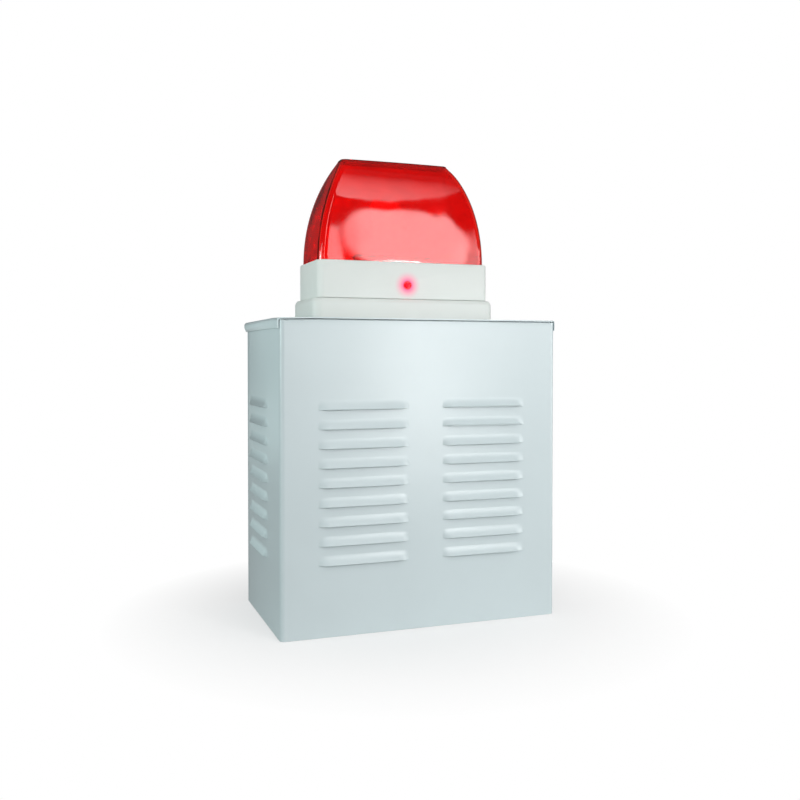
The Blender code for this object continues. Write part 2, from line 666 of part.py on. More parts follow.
def make_beacon_base():
    """Gasket, plinth, collar and lens seal: stacked rings and a tray under the lens."""
    place = (0, BEACON_Y, 0)
    hx, hy = PLINTH_HALF
    lofted("beacon_gasket", RUBBER, [
        (hx - 0.003, hy - 0.003, 0.007, CASE_HEIGHT + GAP),
        (hx - 0.003, hy - 0.003, 0.007, PLINTH_Z[0] - GAP),
        (hx - 0.011, hy - 0.011, 0.004, PLINTH_Z[0] - GAP),
        (hx - 0.011, hy - 0.011, 0.004, CASE_HEIGHT + GAP)], place, closed=True)
    cx, cy = COLLAR_HALF
    wall = 0.003
    low, high = PLINTH_Z
    plinth = lofted("beacon_plinth", WHITE, [
        (hx, hy, 0.010, low), (hx, hy, 0.010, high - 0.0035), (hx - 0.002, hy - 0.002, 0.010, high),
        (cx - 2 * wall, cy - 2 * wall, 0.006, high), (cx - 2 * wall, cy - 2 * wall, 0.006, high - 0.003),
        (hx - wall, hy - wall, 0.007, high - 0.006), (hx - wall, hy - wall, 0.007, low + wall)], place)
    for index, (sx, sy) in enumerate(((1, 1), (-1, 1), (-1, -1), (1, -1))):
        cut(plinth, rod(f"plinth_hole_{index}", WHITE, 0.0023, 0.01,
                        (sx * BOLT_X, BEACON_Y + sy * BOLT_DY, low - 0.003)))
    cut(plinth, rod("plinth_cable_hole", WHITE, 0.0130, 0.01, (0, BEACON_Y, low - 0.003), steps=16))
    low, high = COLLAR_Z
    lip_x, lip_y = LENS_HALF[0] + GAP, LENS_HALF[1] + GAP
    ledge = LENS_ROOT_Z - 0.0025
    collar = lofted("beacon_collar", WHITE, [
        (cx, cy, 0.008, low), (cx, cy, 0.008, high - 0.001), (cx - 0.001, cy - 0.001, 0.0075, high),
        (lip_x, lip_y, LENS_ROUND, high), (lip_x, lip_y, LENS_ROUND, ledge),
        (lip_x - 0.005, lip_y - 0.005, 0.005, ledge), (lip_x - 0.005, lip_y - 0.005, 0.005, ledge - 0.003),
        (cx - wall, cy - wall, 0.005, ledge - 0.006), (cx - wall, cy - wall, 0.005, low)], place, closed=True)
    cut(collar, rod("lamp_hole", WHITE, LAMP_RADIUS + GAP, 0.012,
                    (LAMP_X, BEACON_Y - cy - 0.004, LAMP_Z), "Y", 12))
    lofted("lens_seal", RUBBER, [
        (lip_x - 0.0006, lip_y - 0.0006, 0.008, ledge + GAP),
        (lip_x - 0.0006, lip_y - 0.0006, 0.008, LENS_ROOT_Z - GAP),
        (lip_x - 0.0040, lip_y - 0.0040, 0.005, LENS_ROOT_Z - GAP),
        (lip_x - 0.0040, lip_y - 0.0040, 0.005, ledge + GAP)], place, closed=True)


def make_lens():
    """Red lens: a loft of rounded rectangles closed at the ridge, open below."""
    lens = lofted("lens", RED, lens_rings(), (0, BEACON_Y, 0), steps=4, caps=(False, True))
    thicken(lens, LENS_WALL)
    return lens


def make_beacon_inside():
    """Reflector, strobe tube with its holders, status lamp, bolts and the cable grommet."""
    place = (0, BEACON_Y, 0)
    floor = 0.3465
    reflector = lofted("reflector", CHROME, [
        (0.074, 0.022, 0.006, floor), (0.080, 0.029, 0.006, floor + 0.012),
        (0.0785, 0.0275, 0.005, floor + 0.012), (0.0725, 0.0205, 0.005, floor + 0.0015)], place, steps=3)
    tube_z = floor + 0.020
    for name, side in (("tube_holder_left", -1), ("tube_holder_right", 1)):
        x = side * 0.040
        block(name, WHITE, (x - 0.004, BEACON_Y - 0.006, floor + 0.0015 + GAP),
              (x + 0.004, BEACON_Y + 0.006, tube_z - 0.004 - GAP), 0.001)
    rod("strobe_tube", GLASS, 0.004, 0.092, (-0.046, BEACON_Y, tube_z), "X", 12)
    front = BEACON_Y - COLLAR_HALF[1]
    r = LAMP_RADIUS
    lamp = [(0, 0), (r * 0.55, 0.0004), (r * 0.9, 0.0014), (r, 0.0026), (r, 0.0125), (0, 0.0125)]
    turned("status_lamp", LAMP, lamp, (LAMP_X, front - 0.0080, LAMP_Z), "Y", 12)
    holder_y = front + 0.0048
    block("lamp_holder", SWITCH_BLACK, (LAMP_X - 0.007, holder_y, LAMP_Z - 0.007),
          (LAMP_X + 0.007, holder_y + 0.0016, LAMP_Z + 0.007))
    make_grommet("beacon_grommet", (0, BEACON_Y, CASE_HEIGHT - SHEET / 2), "Z", 0.0085, SHEET)
    for index, (sx, sy) in enumerate(((1, 1), (-1, 1), (-1, -1), (1, -1))):
        x, y = sx * BOLT_X, BEACON_Y + sy * BOLT_DY
        top = PLINTH_Z[0] + 0.003 + GAP
        under = TOP_UNDER_Z - 0.006
        profile = [(0, under - top), (0.0018, under - top), (0.0018, 0), (0.0038, 0), (0.0038, 0.0016),
                   (0.0026, 0.0026), (0, 0.0026)]
        turned(f"beacon_bolt_{index + 1}", ZINC, profile, (x, y, top), steps=10)
    return reflector


def make_leads(battery_top, board_face):
    """Leads inside the case; each ends just clear of what it connects."""
    x, z = BOARD_CENTRE
    gap = 0.0006
    tab_y = PLATE_FRONT_Y - 0.0196
    tab_z = battery_top + 0.0065 + gap
    entry_y = board_face - 0.0055
    entry_z = z - 0.042 - gap
    hx, hz = HORN
    lead("battery_lead_red", LEAD_RED, [
        (BATTERY_X - 0.062, tab_y, tab_z), (BATTERY_X - 0.060, tab_y - 0.002, tab_z + 0.006),
        (BATTERY_X - 0.046, 0.050, tab_z + 0.008), (BATTERY_X - 0.010, 0.046, tab_z + 0.007),
        (x - 0.010, 0.048, tab_z + 0.011), (x + 0.002, 0.056, entry_z - 0.015),
        (x + 0.004, entry_y, entry_z - 0.004), (x + 0.004, entry_y, entry_z)], 0.0013)
    lead("battery_lead_black", LEAD_BLACK, [
        (BATTERY_X + 0.062, tab_y, tab_z), (BATTERY_X + 0.061, tab_y - 0.002, tab_z + 0.010),
        (x + 0.020, 0.056, entry_z - 0.016), (x + 0.016, entry_y, entry_z - 0.004),
        (x + 0.016, entry_y, entry_z)], 0.0013)
    lead("siren_lead", LEAD_GREY, [
        (hx, 0.030, hz - 0.033 - gap), (hx, 0.031, hz - 0.045), (hx + 0.016, 0.040, hz - 0.059),
        (hx + 0.056, 0.052, hz - 0.064), (x - 0.044, 0.056, hz - 0.0655), (x - 0.026, 0.0575, entry_z - 0.017),
        (x - 0.022, entry_y, entry_z - 0.004), (x - 0.022, entry_y, entry_z)], 0.0017)
    lead("beacon_lead", LEAD_GREY, [
        (0, BEACON_Y, 0.3440), (0, BEACON_Y, 0.328), (0, BEACON_Y, 0.306), (0, BEACON_Y, 0.288),
        (0.006, BEACON_Y + 0.012, 0.262), (0.012, 0.050, 0.220), (0.014, 0.060, 0.180),
        (x - 0.054, 0.058, entry_z - 0.008), (x - 0.042, 0.0565, entry_z - 0.016),
        (x - 0.034, entry_y, entry_z - 0.004), (x - 0.034, entry_y, entry_z)], 0.0020)


def main():
    for old in list(bpy.data.objects):
        bpy.data.objects.remove(old, do_unlink=True)
    hinge = joint_empty("cover_axis", (0, FRONT_Y, COVER_TOP_Z))
    parent_to(hinge, make_cover_wrap(), make_cover_floor(), make_cover_screw(-1), make_cover_screw(1))
    make_back_plate()
    make_top_panel()
    make_cover_screw_bracket()
    for side in (-1, 1):
        make_cover_hook(side)
        make_weld_nut(side)
    make_grommet("cable_grommet", (CABLE_X, BACK_Y - PLATE / 2, CABLE_Z), "Y", 0.0125, PLATE, False)
    low, high = make_battery()
    make_battery_shelf(low, high)
    make_battery_strap(low, high)
    board_face = make_board()
    make_horn_bracket(make_horn())
    make_cover_tamper()
    make_wall_tamper()
    make_beacon_base()
    make_lens()
    make_beacon_inside()
    make_leads(high[2], board_face)


main()
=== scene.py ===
"""Looks of the outdoor alarm siren: a louvred steel case with a red strobe beacon on top.

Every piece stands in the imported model's frame: metres, +Z up, the louvred front towards -Y.
"""

import json
import math

import bmesh
import bpy
from mathutils import Matrix, Vector


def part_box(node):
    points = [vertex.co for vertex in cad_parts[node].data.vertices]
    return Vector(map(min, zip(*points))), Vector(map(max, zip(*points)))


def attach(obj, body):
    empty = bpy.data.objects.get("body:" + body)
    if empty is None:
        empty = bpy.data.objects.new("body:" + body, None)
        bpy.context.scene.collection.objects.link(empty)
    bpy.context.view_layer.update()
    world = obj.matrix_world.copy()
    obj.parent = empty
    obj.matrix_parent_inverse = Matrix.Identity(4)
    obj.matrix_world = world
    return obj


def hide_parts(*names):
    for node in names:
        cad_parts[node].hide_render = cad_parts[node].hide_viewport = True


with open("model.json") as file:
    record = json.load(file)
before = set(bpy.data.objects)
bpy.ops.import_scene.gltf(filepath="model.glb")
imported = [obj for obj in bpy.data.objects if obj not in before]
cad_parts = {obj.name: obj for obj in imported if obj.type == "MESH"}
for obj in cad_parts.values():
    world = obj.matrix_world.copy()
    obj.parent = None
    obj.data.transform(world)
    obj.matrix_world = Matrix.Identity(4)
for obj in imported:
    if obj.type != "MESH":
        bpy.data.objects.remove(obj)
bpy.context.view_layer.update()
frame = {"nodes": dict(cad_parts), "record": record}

bl_info = {
    "name": "Alarm siren",
    "version": (1, 0, 0),
    "blender": (4, 5, 0),
    "location": "3D View > Sidebar > Siren",
    "description": "Builds the visible pieces and the stage of an outdoor alarm siren",
    "category": "Object",
}

WRAP_LOW, WRAP_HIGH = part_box("cover_wrap")
PLATE_LOW, PLATE_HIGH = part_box("back_plate")
TOP_LOW, TOP_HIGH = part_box("top_panel")
PLINTH_LOW, PLINTH_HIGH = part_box("beacon_plinth")
COLLAR_LOW, COLLAR_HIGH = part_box("beacon_collar")
LENS_LOW, LENS_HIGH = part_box("lens")
LAMP_LOW, LAMP_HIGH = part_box("status_lamp")
LAMP_MIDDLE = (LAMP_LOW + LAMP_HIGH) / 2
HALF_WIDTH = PLATE_HIGH.x
FRONT_Y = TOP_LOW.y
BEACON_Y = (COLLAR_LOW.y + COLLAR_HIGH.y) / 2
BEACON_BOLTS = ("beacon_bolt_1", "beacon_bolt_2", "beacon_bolt_3", "beacon_bolt_4")
SMALL = 1e-5
MERGE = 1e-6
QUARTER = math.pi / 2


# ---------------------------------------------------------------- settings


def length(name, description, default):
    """A size in metres that a user can change."""
    return bpy.props.FloatProperty(name=name, description=description, default=default, min=0.0,
                                   unit="LENGTH", subtype="DISTANCE", precision=4)


def colour(name, description, default):
    """A linear colour that a user can change."""
    return bpy.props.FloatVectorProperty(name=name, description=description, default=default,
                                         size=3, min=0.0, max=1.0, subtype="COLOR")


class SirenCaseSettings(bpy.types.PropertyGroup):
    """Sheet steel case."""

    paint: colour("Paint", "Powder coat of the case", (0.542, 0.624, 0.640))
    sheet: length("Sheet", "Thickness of the case's sheet steel", 0.0012)
    bend: length("Bend", "Outside radius of the cover's upright bends", 0.0050)
    fold: length("Fold", "Outside radius of the fold along the cover's top front edge", 0.0012)
    hook_lip: length("Hook lip", "Depth of the lip folded in under the top panel", 0.0140)
    return_flange: length("Return flange", "Width of the flanges in front of the back plate", 0.0080)


class SirenLouvreSettings(bpy.types.PropertyGroup):
    """Pressed louvres."""

    rows: bpy.props.IntProperty(name="Rows", description="Louvres in each column", default=9, min=1)
    pitch: length("Pitch", "Distance from one lip to the next", 0.01822)
    height: length("Height", "Height of a hood above its lip", 0.0095)
    out: length("Out", "How far a lip stands off the sheet", 0.0037)
    cheek: length("Cheek", "Length of the closed end of a hood", 0.0110)
    first_lip: length("First lip", "Height of the top row's lip", 0.2136)


class SirenBeaconSettings(bpy.types.PropertyGroup):
    """Beacon base, lens and lamp."""

    moulding: colour("Moulding", "White plastic of the base", (0.635, 0.675, 0.65))
    lens: colour("Lens", "Red of the clear lens", (0.84, 0.016, 0.008))
    wall: length("Wall", "Thickness of the base's moulded walls", 0.0030)
    lens_wall: length("Lens wall", "Thickness of the lens", 0.0025)
    lamp_power: bpy.props.FloatProperty(name="Lamp", description="Glow of the status lamp",
                                        default=1.5, min=0.0)


class SirenStageSettings(bpy.types.PropertyGroup):
    """Floor, backdrop light, lamps and camera."""

    floor: colour("Floor", "Colour of the pale floor", (0.90, 0.90, 0.90))
    backdrop: bpy.props.FloatProperty(name="Backdrop", description="Brightness behind the object",
                                      default=1.0, min=0.0)
    fill: bpy.props.FloatProperty(name="Fill", description="Brightness of the light from all round",
                                  default=0.265, min=0.0)
    lens: bpy.props.FloatProperty(name="Lens", description="Focal length of the camera in mm",
                                  default=41.54, min=1.0)


# ---------------------------------------------------------------- finishes

FINISHES = {}
# Moulded plastics: colour, roughness, and where it isn't the usual, grain per metre and its depth
MOULDINGS = {
    "black_rubber": ((0.022, 0.022, 0.023), 0.78, 900.0, 0.00006),
    "horn_plastic": ((0.16, 0.165, 0.17), 0.50, 1300.0, 0.00005),
    "battery_case": ((0.025, 0.026, 0.030), 0.46, 1100.0, 0.00006),
    "relay_blue": ((0.02, 0.07, 0.28), 0.34),
    "terminal_green": ((0.03, 0.22, 0.07), 0.42),
    "switch_black": ((0.018, 0.018, 0.019), 0.44),
    "plunger_cream": ((0.70, 0.64, 0.46), 0.35),
    "lead_red": ((0.50, 0.012, 0.012), 0.40),
    "lead_black": ((0.015, 0.015, 0.016), 0.42),
    "lead_grey": ((0.20, 0.20, 0.22), 0.44),
}
# Painted lamp glow on the white moulding: where the painted halo and rim start and end, how fast the halo
# fades, and their painted colours
PAINTED_GLOW_NEAR, PAINTED_GLOW_FAR = 0.0038, 0.0150
PAINTED_GLOW_EDGE = 0.0008
PAINTED_GLOW_FALL = 1.6
PAINTED_GLOW_HALO = (1.0, 0.06, 0.30)
PAINTED_GLOW_CORE = (0.80, 0.004, 0.012)


def add_node(tree, kind, inputs, **properties):
    """A shader node with its properties set, and each input set to a value or joined to an output."""
    node = tree.nodes.new("ShaderNode" + kind)
    for name, value in properties.items():
        setattr(node, name, value)
    for name, value in inputs.items():
        if isinstance(value, bpy.types.NodeSocket):
            tree.links.new(value, node.inputs[name])
        else:
            node.inputs[name].default_value = value
    return node


def start_finish(name, value, roughness, metallic=0.0, **sockets):
    """A Principled material with its uniform values set; returns material, tree, shader and coordinates."""
    made = bpy.data.materials.new(name)
    made.use_nodes = True
    made.diffuse_color = (*value, 1.0)
    tree = made.node_tree
    shader = tree.nodes["Principled BSDF"]
    shader.inputs["Base Color"].default_value = (*value, 1.0)
    shader.inputs["Roughness"].default_value = roughness
    shader.inputs["Metallic"].default_value = metallic
    for socket, level in sockets.items():
        shader.inputs[socket.replace("_", " ")].default_value = level
    return made, tree, shader, add_node(tree, "TexCoord", {}).outputs["Object"]


def noise(tree, place, scale, detail=2.0, stretch=None):
    """Noise on object coordinates, scale in features per metre; stretch squeezes it by axis."""
    if stretch is not None:
        place = add_node(tree, "Mapping", {"Vector": place, "Scale": stretch}).outputs["Vector"]
    return add_node(tree, "TexNoise", {"Vector": place, "Scale": scale, "Detail": detail}).outputs["Fac"]


def spread(tree, source, low, high, start=0.3, stop=0.7):
    """A value from low to high as source runs from start to stop."""
    return add_node(tree, "MapRange", {"Value": source, "From Min": start, "From Max": stop,
                                       "To Min": low, "To Max": high}).outputs["Result"]


def blend_colours(tree, source, low, high, start=0.3, stop=0.7):
    """A colour from low to high as source runs from start to stop."""
    node = add_node(tree, "ValToRGB", {"Fac": source})
    for element, position, value in zip(node.color_ramp.elements, (start, stop), (low, high)):
        element.position = position
        element.color = (*value, 1.0)
    return node.outputs["Color"]


def relief(tree, shader, *heights):
    """Bump from several (height, depth in metres) sources, added one on another."""
    below = {}
    for height, depth in heights:
        bump = add_node(tree, "Bump", {"Height": height, "Distance": depth, "Strength": 1.0, **below})
        below = {"Normal": bump.outputs["Normal"]}
    tree.links.new(bump.outputs["Normal"], shader.inputs["Normal"])


def shaded(value, share):
    """A colour made lighter or darker by a share."""
    return tuple(max(0.0, min(1.0, channel * (1.0 + share))) for channel in value)


def mottle(tree, shader, source, value, low, high, start=0.3, stop=0.7):
    """Vary the base colour by shares about a value, as source runs from start to stop."""
    tree.links.new(blend_colours(tree, source, shaded(value, low), shaded(value, high), start, stop),
                   shader.inputs["Base Color"])


def polish(tree, shader, source, low, high):
    """Vary the roughness from low to high with source."""
    tree.links.new(spread(tree, source, low, high), shader.inputs["Roughness"])


def case_paint(value):
    """Powder coat: fine orange peel over sheet that isn't quite flat."""
    made, tree, shader, place = start_finish("case_paint_finish", value, 0.28, Specular_IOR_Level=0.5)
    mottle(tree, shader, noise(tree, place, 14.0, 3.0), value, -0.015, 0.015)
    polish(tree, shader, noise(tree, place, 12.0), 0.275, 0.295)
    relief(tree, shader, (noise(tree, place, 5.0, 0.0, (1.0, 1.0, 0.6)), 0.0005),
           (noise(tree, place, 700.0), 0.00002))
    return made


def zinc(value):
    """Bright zinc plate with a faint spangle."""
    made, tree, shader, place = start_finish("zinc_finish", value, 0.34, 1.0)
    cells = add_node(tree, "TexVoronoi", {"Vector": place, "Scale": 240.0})
    mottle(tree, shader, cells.outputs["Distance"], value, 0.08, -0.16, 0.0, 0.9)
    polish(tree, shader, noise(tree, place, 320.0), 0.26, 0.46)
    relief(tree, shader, (noise(tree, place, 900.0, 3.0), 0.00002))
    return made


def moulded(name, value, roughness, grain=1500.0, depth=0.00003, cloud=60.0, change=0.04, **sockets):
    """Moulded plastic: a fine spark-eroded texture and slight flow marks."""
    made, tree, shader, place = start_finish(name, value, roughness, **sockets)
    mottle(tree, shader, noise(tree, place, cloud, 3.0), value, -change, change)
    polish(tree, shader, noise(tree, place, cloud * 3.0), roughness - 0.05, roughness + 0.05)
    relief(tree, shader, (noise(tree, place, grain), depth))
    return made


def painted_lamp_glow(finish, centre):
    """Tint the moulding round the status lamp with painted light: a painted pink halo of its glow and a
    darker red painted rim.
    """
    tree = finish.node_tree
    base = tree.nodes["Principled BSDF"].inputs["Base Color"]
    place = add_node(tree, "TexCoord", {}).outputs["Object"]
    away = add_node(tree, "VectorMath", {0: place, 1: centre}, operation="DISTANCE").outputs["Value"]
    near_share = spread(tree, away, 1.0, 0.0, PAINTED_GLOW_NEAR, PAINTED_GLOW_FAR)
    halo = add_node(tree, "Math", {0: near_share, 1: PAINTED_GLOW_FALL}, operation="POWER").outputs["Value"]
    core = spread(tree, away, 1.0, 0.0, PAINTED_GLOW_NEAR, PAINTED_GLOW_NEAR + PAINTED_GLOW_EDGE)
    # Painted light: the halo, then the rim, mixed over the moulding's own colour
    for share, tint in ((halo, PAINTED_GLOW_HALO), (core, PAINTED_GLOW_CORE)):
        mix = add_node(tree, "Mix", {"Factor": share, "A": base.links[0].from_socket, "B": (*tint, 1.0)},
                       data_type="RGBA")
        tree.links.new(mix.outputs["Result"], base)
    return finish


def red_lens(value):
    """Clear red polycarbonate, deeper in colour where it is seen aslant, with faint flow marks."""
    made, tree, shader, place = start_finish("red_lens_finish", value, 0.06, Transmission_Weight=1.0,
                                             IOR=1.585, Specular_IOR_Level=0.5)
    flow = noise(tree, place, 16.0, 2.0, (1.0, 1.0, 1.6))
    slant = add_node(tree, "LayerWeight", {"Blend": 0.5}).outputs["Facing"]
    deepen = add_node(tree, "Mix", {
        "Factor": spread(tree, slant, 0.0, 1.0, 0.35, 0.85),
        "A": blend_colours(tree, flow, shaded(value, -0.12), shaded(value, 0.10)),
        "B": (value[0] * 0.38, value[1] * 0.2, value[2] * 0.6, 1.0)}, data_type="RGBA")
    tree.links.new(deepen.outputs["Result"], shader.inputs["Base Color"])
    polish(tree, shader, noise(tree, place, 30.0), 0.04, 0.12)
    relief(tree, shader, (noise(tree, place, 22.0, 1.0), 0.0008))
    return made


def clear_glass(value):
    """Glass of the strobe tube, a little smoky in places."""
    made, tree, shader, place = start_finish("strobe_glass_finish", value, 0.05,
                                             Transmission_Weight=0.9, IOR=1.47)
    mottle(tree, shader, noise(tree, place, 40.0), value, -0.12, 0.0)
    polish(tree, shader, noise(tree, place, 200.0), 0.03, 0.09)
    return made


def bright_reflector(value):
    """Vacuum-metallised reflector with a soft haze."""
    made, tree, shader, place = start_finish("reflector_finish", value, 0.16, 1.0)
    polish(tree, shader, noise(tree, place, 120.0, 3.0), 0.12, 0.24)
    mottle(tree, shader, noise(tree, place, 50.0), value, -0.05, 0.0)
    relief(tree, shader, (noise(tree, place, 260.0), 0.00005))
    return made


def glowing_lamp(value, power):
    """Red lamp that glows through its own clear red body."""
    made, tree, shader, place = start_finish("status_lamp_finish", value, 0.15, IOR=1.5,
                                             Transmission_Weight=0.3, Emission_Strength=power)
    core = blend_colours(tree, noise(tree, place, 400.0), (1.0, 0.002, 0.006), (1.0, 0.008, 0.02))
    for socket in ("Emission Color", "Base Color"):
        tree.links.new(core, shader.inputs[socket])
    return made


def circuit_board(value):
    """Solder mask over copper tracks."""
    made, tree, shader, place = start_finish("board_finish", value, 0.38)
    flat = add_node(tree, "Mapping", {"Vector": place, "Rotation": (QUARTER, 0.0, 0.0)})
    tracks = add_node(tree, "TexBrick", {
        "Vector": flat.outputs["Vector"], "Scale": 60.0, "Mortar Size": 0.035, "Color1": (*value, 1.0),
        "Color2": (*shaded(value, -0.2), 1.0), "Mortar": (*shaded(value, 1.1), 1.0)})
    tree.links.new(tracks.outputs["Color"], shader.inputs["Base Color"])
    relief(tree, shader, (tracks.outputs["Fac"], 0.00004))
    return made


class SIREN_OT_finishes(bpy.types.Operator):
    """Mix each slot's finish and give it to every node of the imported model"""

    bl_idname = "siren.finishes"
    bl_label = "Finishes"

    def execute(self, context):
        beacon = context.scene.siren_beacon
        white = moulded("beacon_white_painted_glow_finish", tuple(beacon.moulding), 0.42, 1800.0, 0.00002, 25.0,
                        0.012, Specular_IOR_Level=0.45)
        FINISHES.update({
            "case_paint": case_paint(tuple(context.scene.siren_case.paint)),
            "zinc_plate": zinc((0.72, 0.73, 0.74)),
            # The white moulding, with a painted glow round the status lamp
            "beacon_white": painted_lamp_glow(white, (LAMP_MIDDLE.x, COLLAR_LOW.y, LAMP_MIDDLE.z)),
            "lens_red": red_lens(tuple(beacon.lens)),
            "lamp_red": glowing_lamp((0.95, 0.02, 0.03), beacon.lamp_power),
            "board_green": circuit_board((0.012, 0.105, 0.045)),
            "clear_glass": clear_glass((0.90, 0.93, 0.95)),
            "reflector_silver": bright_reflector((0.86, 0.86, 0.87)),
        })
        for slot, values in MOULDINGS.items():
            FINISHES[slot] = moulded(slot + "_finish", *values)
        for part in frame["record"]["subparts"]:
            for slot in frame["nodes"][part["node"]].material_slots:
                slot.material = FINISHES[part["material_slot"]]
        return {"FINISHED"}


# ---------------------------------------------------------------- shaping

TURNS = {"Z": Matrix.Identity(3), "-Z": Matrix.Rotation(math.pi, 3, "X"),
         "Y": Matrix.Rotation(-QUARTER, 3, "X"), "-Y": Matrix.Rotation(QUARTER, 3, "X"),
         "X": Matrix.Rotation(QUARTER, 3, "Y"), "-X": Matrix.Rotation(-QUARTER, 3, "Y")}


def add_piece(name, bm, slot, body, stands_for, sharp_angle=32.0):
    """Make an object of a bmesh that stands in its place with its slot's finish, tie it to its body, and
    hide the nodes that it stands in for.
    """
    mesh = bpy.data.meshes.new(name)
    bm.to_mesh(mesh)
    bm.free()
    mesh.shade_smooth()
    mesh.set_sharp_from_angle(angle=math.radians(sharp_angle))
    mesh.materials.append(FINISHES[slot])
    made = bpy.data.objects.new(name, mesh)
    bpy.context.scene.collection.objects.link(made)
    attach(made, body)
    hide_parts(*stands_for)
    return made


def settle(piece, sharp_angle=32.0):
    """Apply a piece's modifiers to its mesh and mark its sharp edges."""
    view = bpy.context.evaluated_depsgraph_get()
    mesh = bpy.data.meshes.new_from_object(piece.evaluated_get(view))
    bm = bmesh.new()
    bm.from_mesh(mesh)
    bmesh.ops.recalc_face_normals(bm, faces=bm.faces)
    bm.to_mesh(mesh)
    bm.free()
    piece.modifiers.clear()
    piece.data = mesh
    mesh.shade_smooth()
    mesh.set_sharp_from_angle(angle=math.radians(sharp_angle))


def thicken(piece, wall):
    """Give an open sheet its wall, inwards from its outer face."""
    change = piece.modifiers.new("wall", "SOLIDIFY")
    change.thickness = wall
    change.offset = -1.0
    change.use_even_offset = True
    change.use_quality_normals = True


def cut(piece, cutters):
    """Cut closed bmeshes out of a piece, one after another, and settle it."""
    helpers = []
    for bm in cutters:
        bmesh.ops.recalc_face_normals(bm, faces=bm.faces)
        mesh = bpy.data.meshes.new("cutter")
        bm.to_mesh(mesh)
        bm.free()
        helper = bpy.data.objects.new("cutter", mesh)
        bpy.context.scene.collection.objects.link(helper)
        change = piece.modifiers.new("cut", "BOOLEAN")
        change.operation = "DIFFERENCE"
        change.object = helper
        helpers.append(helper)
    settle(piece)
    for helper in helpers:
        bpy.data.objects.remove(helper)


def near(value, level):
    """Whether two measures are the same place."""
    return abs(value - level) < SMALL


def edges_where(bm, test):
    """The edges whose two ends both pass a test of their place."""
    return [edge for edge in bm.edges if all(test(vert.co) for vert in edge.verts)]


def drawn_line(bm, points):
    """New vertices at the points and the edges between them."""
    verts = [bm.verts.new(point) for point in points]
    return verts, [bm.edges.new(pair) for pair in zip(verts, verts[1:])]


def grow(bm, edges, move):
    """Extrude a line of edges by a move; returns its new edges."""
    grown = bmesh.ops.extrude_edge_only(bm, edges=edges)["geom"]
    heads = [item for item in grown if isinstance(item, bmesh.types.BMVert)]
    bmesh.ops.translate(bm, verts=heads, vec=move)
    return [item for item in grown if isinstance(item, bmesh.types.BMEdge)
            and all(vert in heads for vert in item.verts)]


def round_off(bm, geom, radius, segments, affect="EDGES"):
    """Round edges or corners evenly."""
    bmesh.ops.bevel(bm, geom=geom, offset=radius, offset_type="OFFSET", segments=segments,
                    profile=0.5, affect=affect, material=-1)


def slice_at(bm, axis, place, geom=None):
    """Cut new edges through a mesh, or a part of it, where it crosses a plane square to an axis."""
    normal = Matrix.Identity(3)[axis]
    bmesh.ops.bisect_plane(bm, geom=geom or bm.verts[:] + bm.edges[:] + bm.faces[:], dist=MERGE,
                           plane_co=normal * place, plane_no=normal)


def face_towards(bm, direction):
    """Turn an open sheet's faces so that most of its area looks along a direction."""
    bmesh.ops.recalc_face_normals(bm, faces=bm.faces)
    if sum(face.normal.dot(direction) * face.calc_area() for face in bm.faces) < 0:
        bmesh.ops.reverse_faces(bm, faces=bm.faces)


def box_shape(low, high, bevel=0.0, segments=3):
    """A closed box between two corners with rounded edges."""
    low = Vector(low)
    high = Vector(high)
    bm = bmesh.new()
    bmesh.ops.create_cube(bm, size=1.0)
    bmesh.ops.scale(bm, vec=high - low, verts=bm.verts)
    bmesh.ops.translate(bm, vec=(low + high) / 2, verts=bm.verts)
    if bevel:
        round_off(bm, bm.edges[:], bevel, segments)
    return bm


def spun_shape(profile, place, axis="Z", steps=48):
    """A solid of revolution about an axis through place; profile is (radius, height) points."""
    bm = bmesh.new()
    points, edges = drawn_line(bm, [(radius, 0.0, height) for radius, height in profile])
    bmesh.ops.spin(bm, geom=points + edges, cent=(0, 0, 0), axis=(0, 0, 1), angle=math.tau,
                   steps=steps, use_merge=True, use_duplicate=False)
    bmesh.ops.remove_doubles(bm, verts=bm.verts, dist=MERGE)
    bmesh.ops.recalc_face_normals(bm, faces=bm.faces)
    bmesh.ops.rotate(bm, cent=(0, 0, 0), matrix=TURNS[axis], verts=bm.verts)
    bmesh.ops.translate(bm, vec=place, verts=bm.verts)
    return bm


def bore(radius, depth, place, axis="Z", steps=24):
    """A cylinder to cut a round hole with, from a place along an axis."""
    return spun_shape([(0, 0), (radius, 0), (radius, depth), (0, depth)], place, axis, steps)


def bolt_bores(radius, depth, z):
    """A bore for each beacon bolt, from height z up."""
    middles = [sum(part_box(name), Vector()) / 2 for name in BEACON_BOLTS]
    return [bore(radius, depth, (middle.x, middle.y, z)) for middle in middles]


def inset(half, by, radius, z):
    """A ring set in by a distance from a half size (x, y), as (half_x, half_y, radius, z)."""
    return (half[0] - by, half[1] - by, radius, z)


def rounded_face(bm, ring, segments):
    """A flat face with four round corners, centred over the beacon."""
    half_x, half_y, radius, z = ring
    made = bmesh.ops.create_grid(bm, x_segments=1, y_segments=1, size=1.0)
    bmesh.ops.scale(bm, vec=(half_x, half_y, 1.0), verts=made["verts"])
    round_off(bm, made["verts"], radius, segments, "VERTICES")
    bmesh.ops.translate(bm, vec=(0.0, BEACON_Y, z), verts=bm.verts)
    bm.faces.ensure_lookup_table()
    return bm.faces[0]


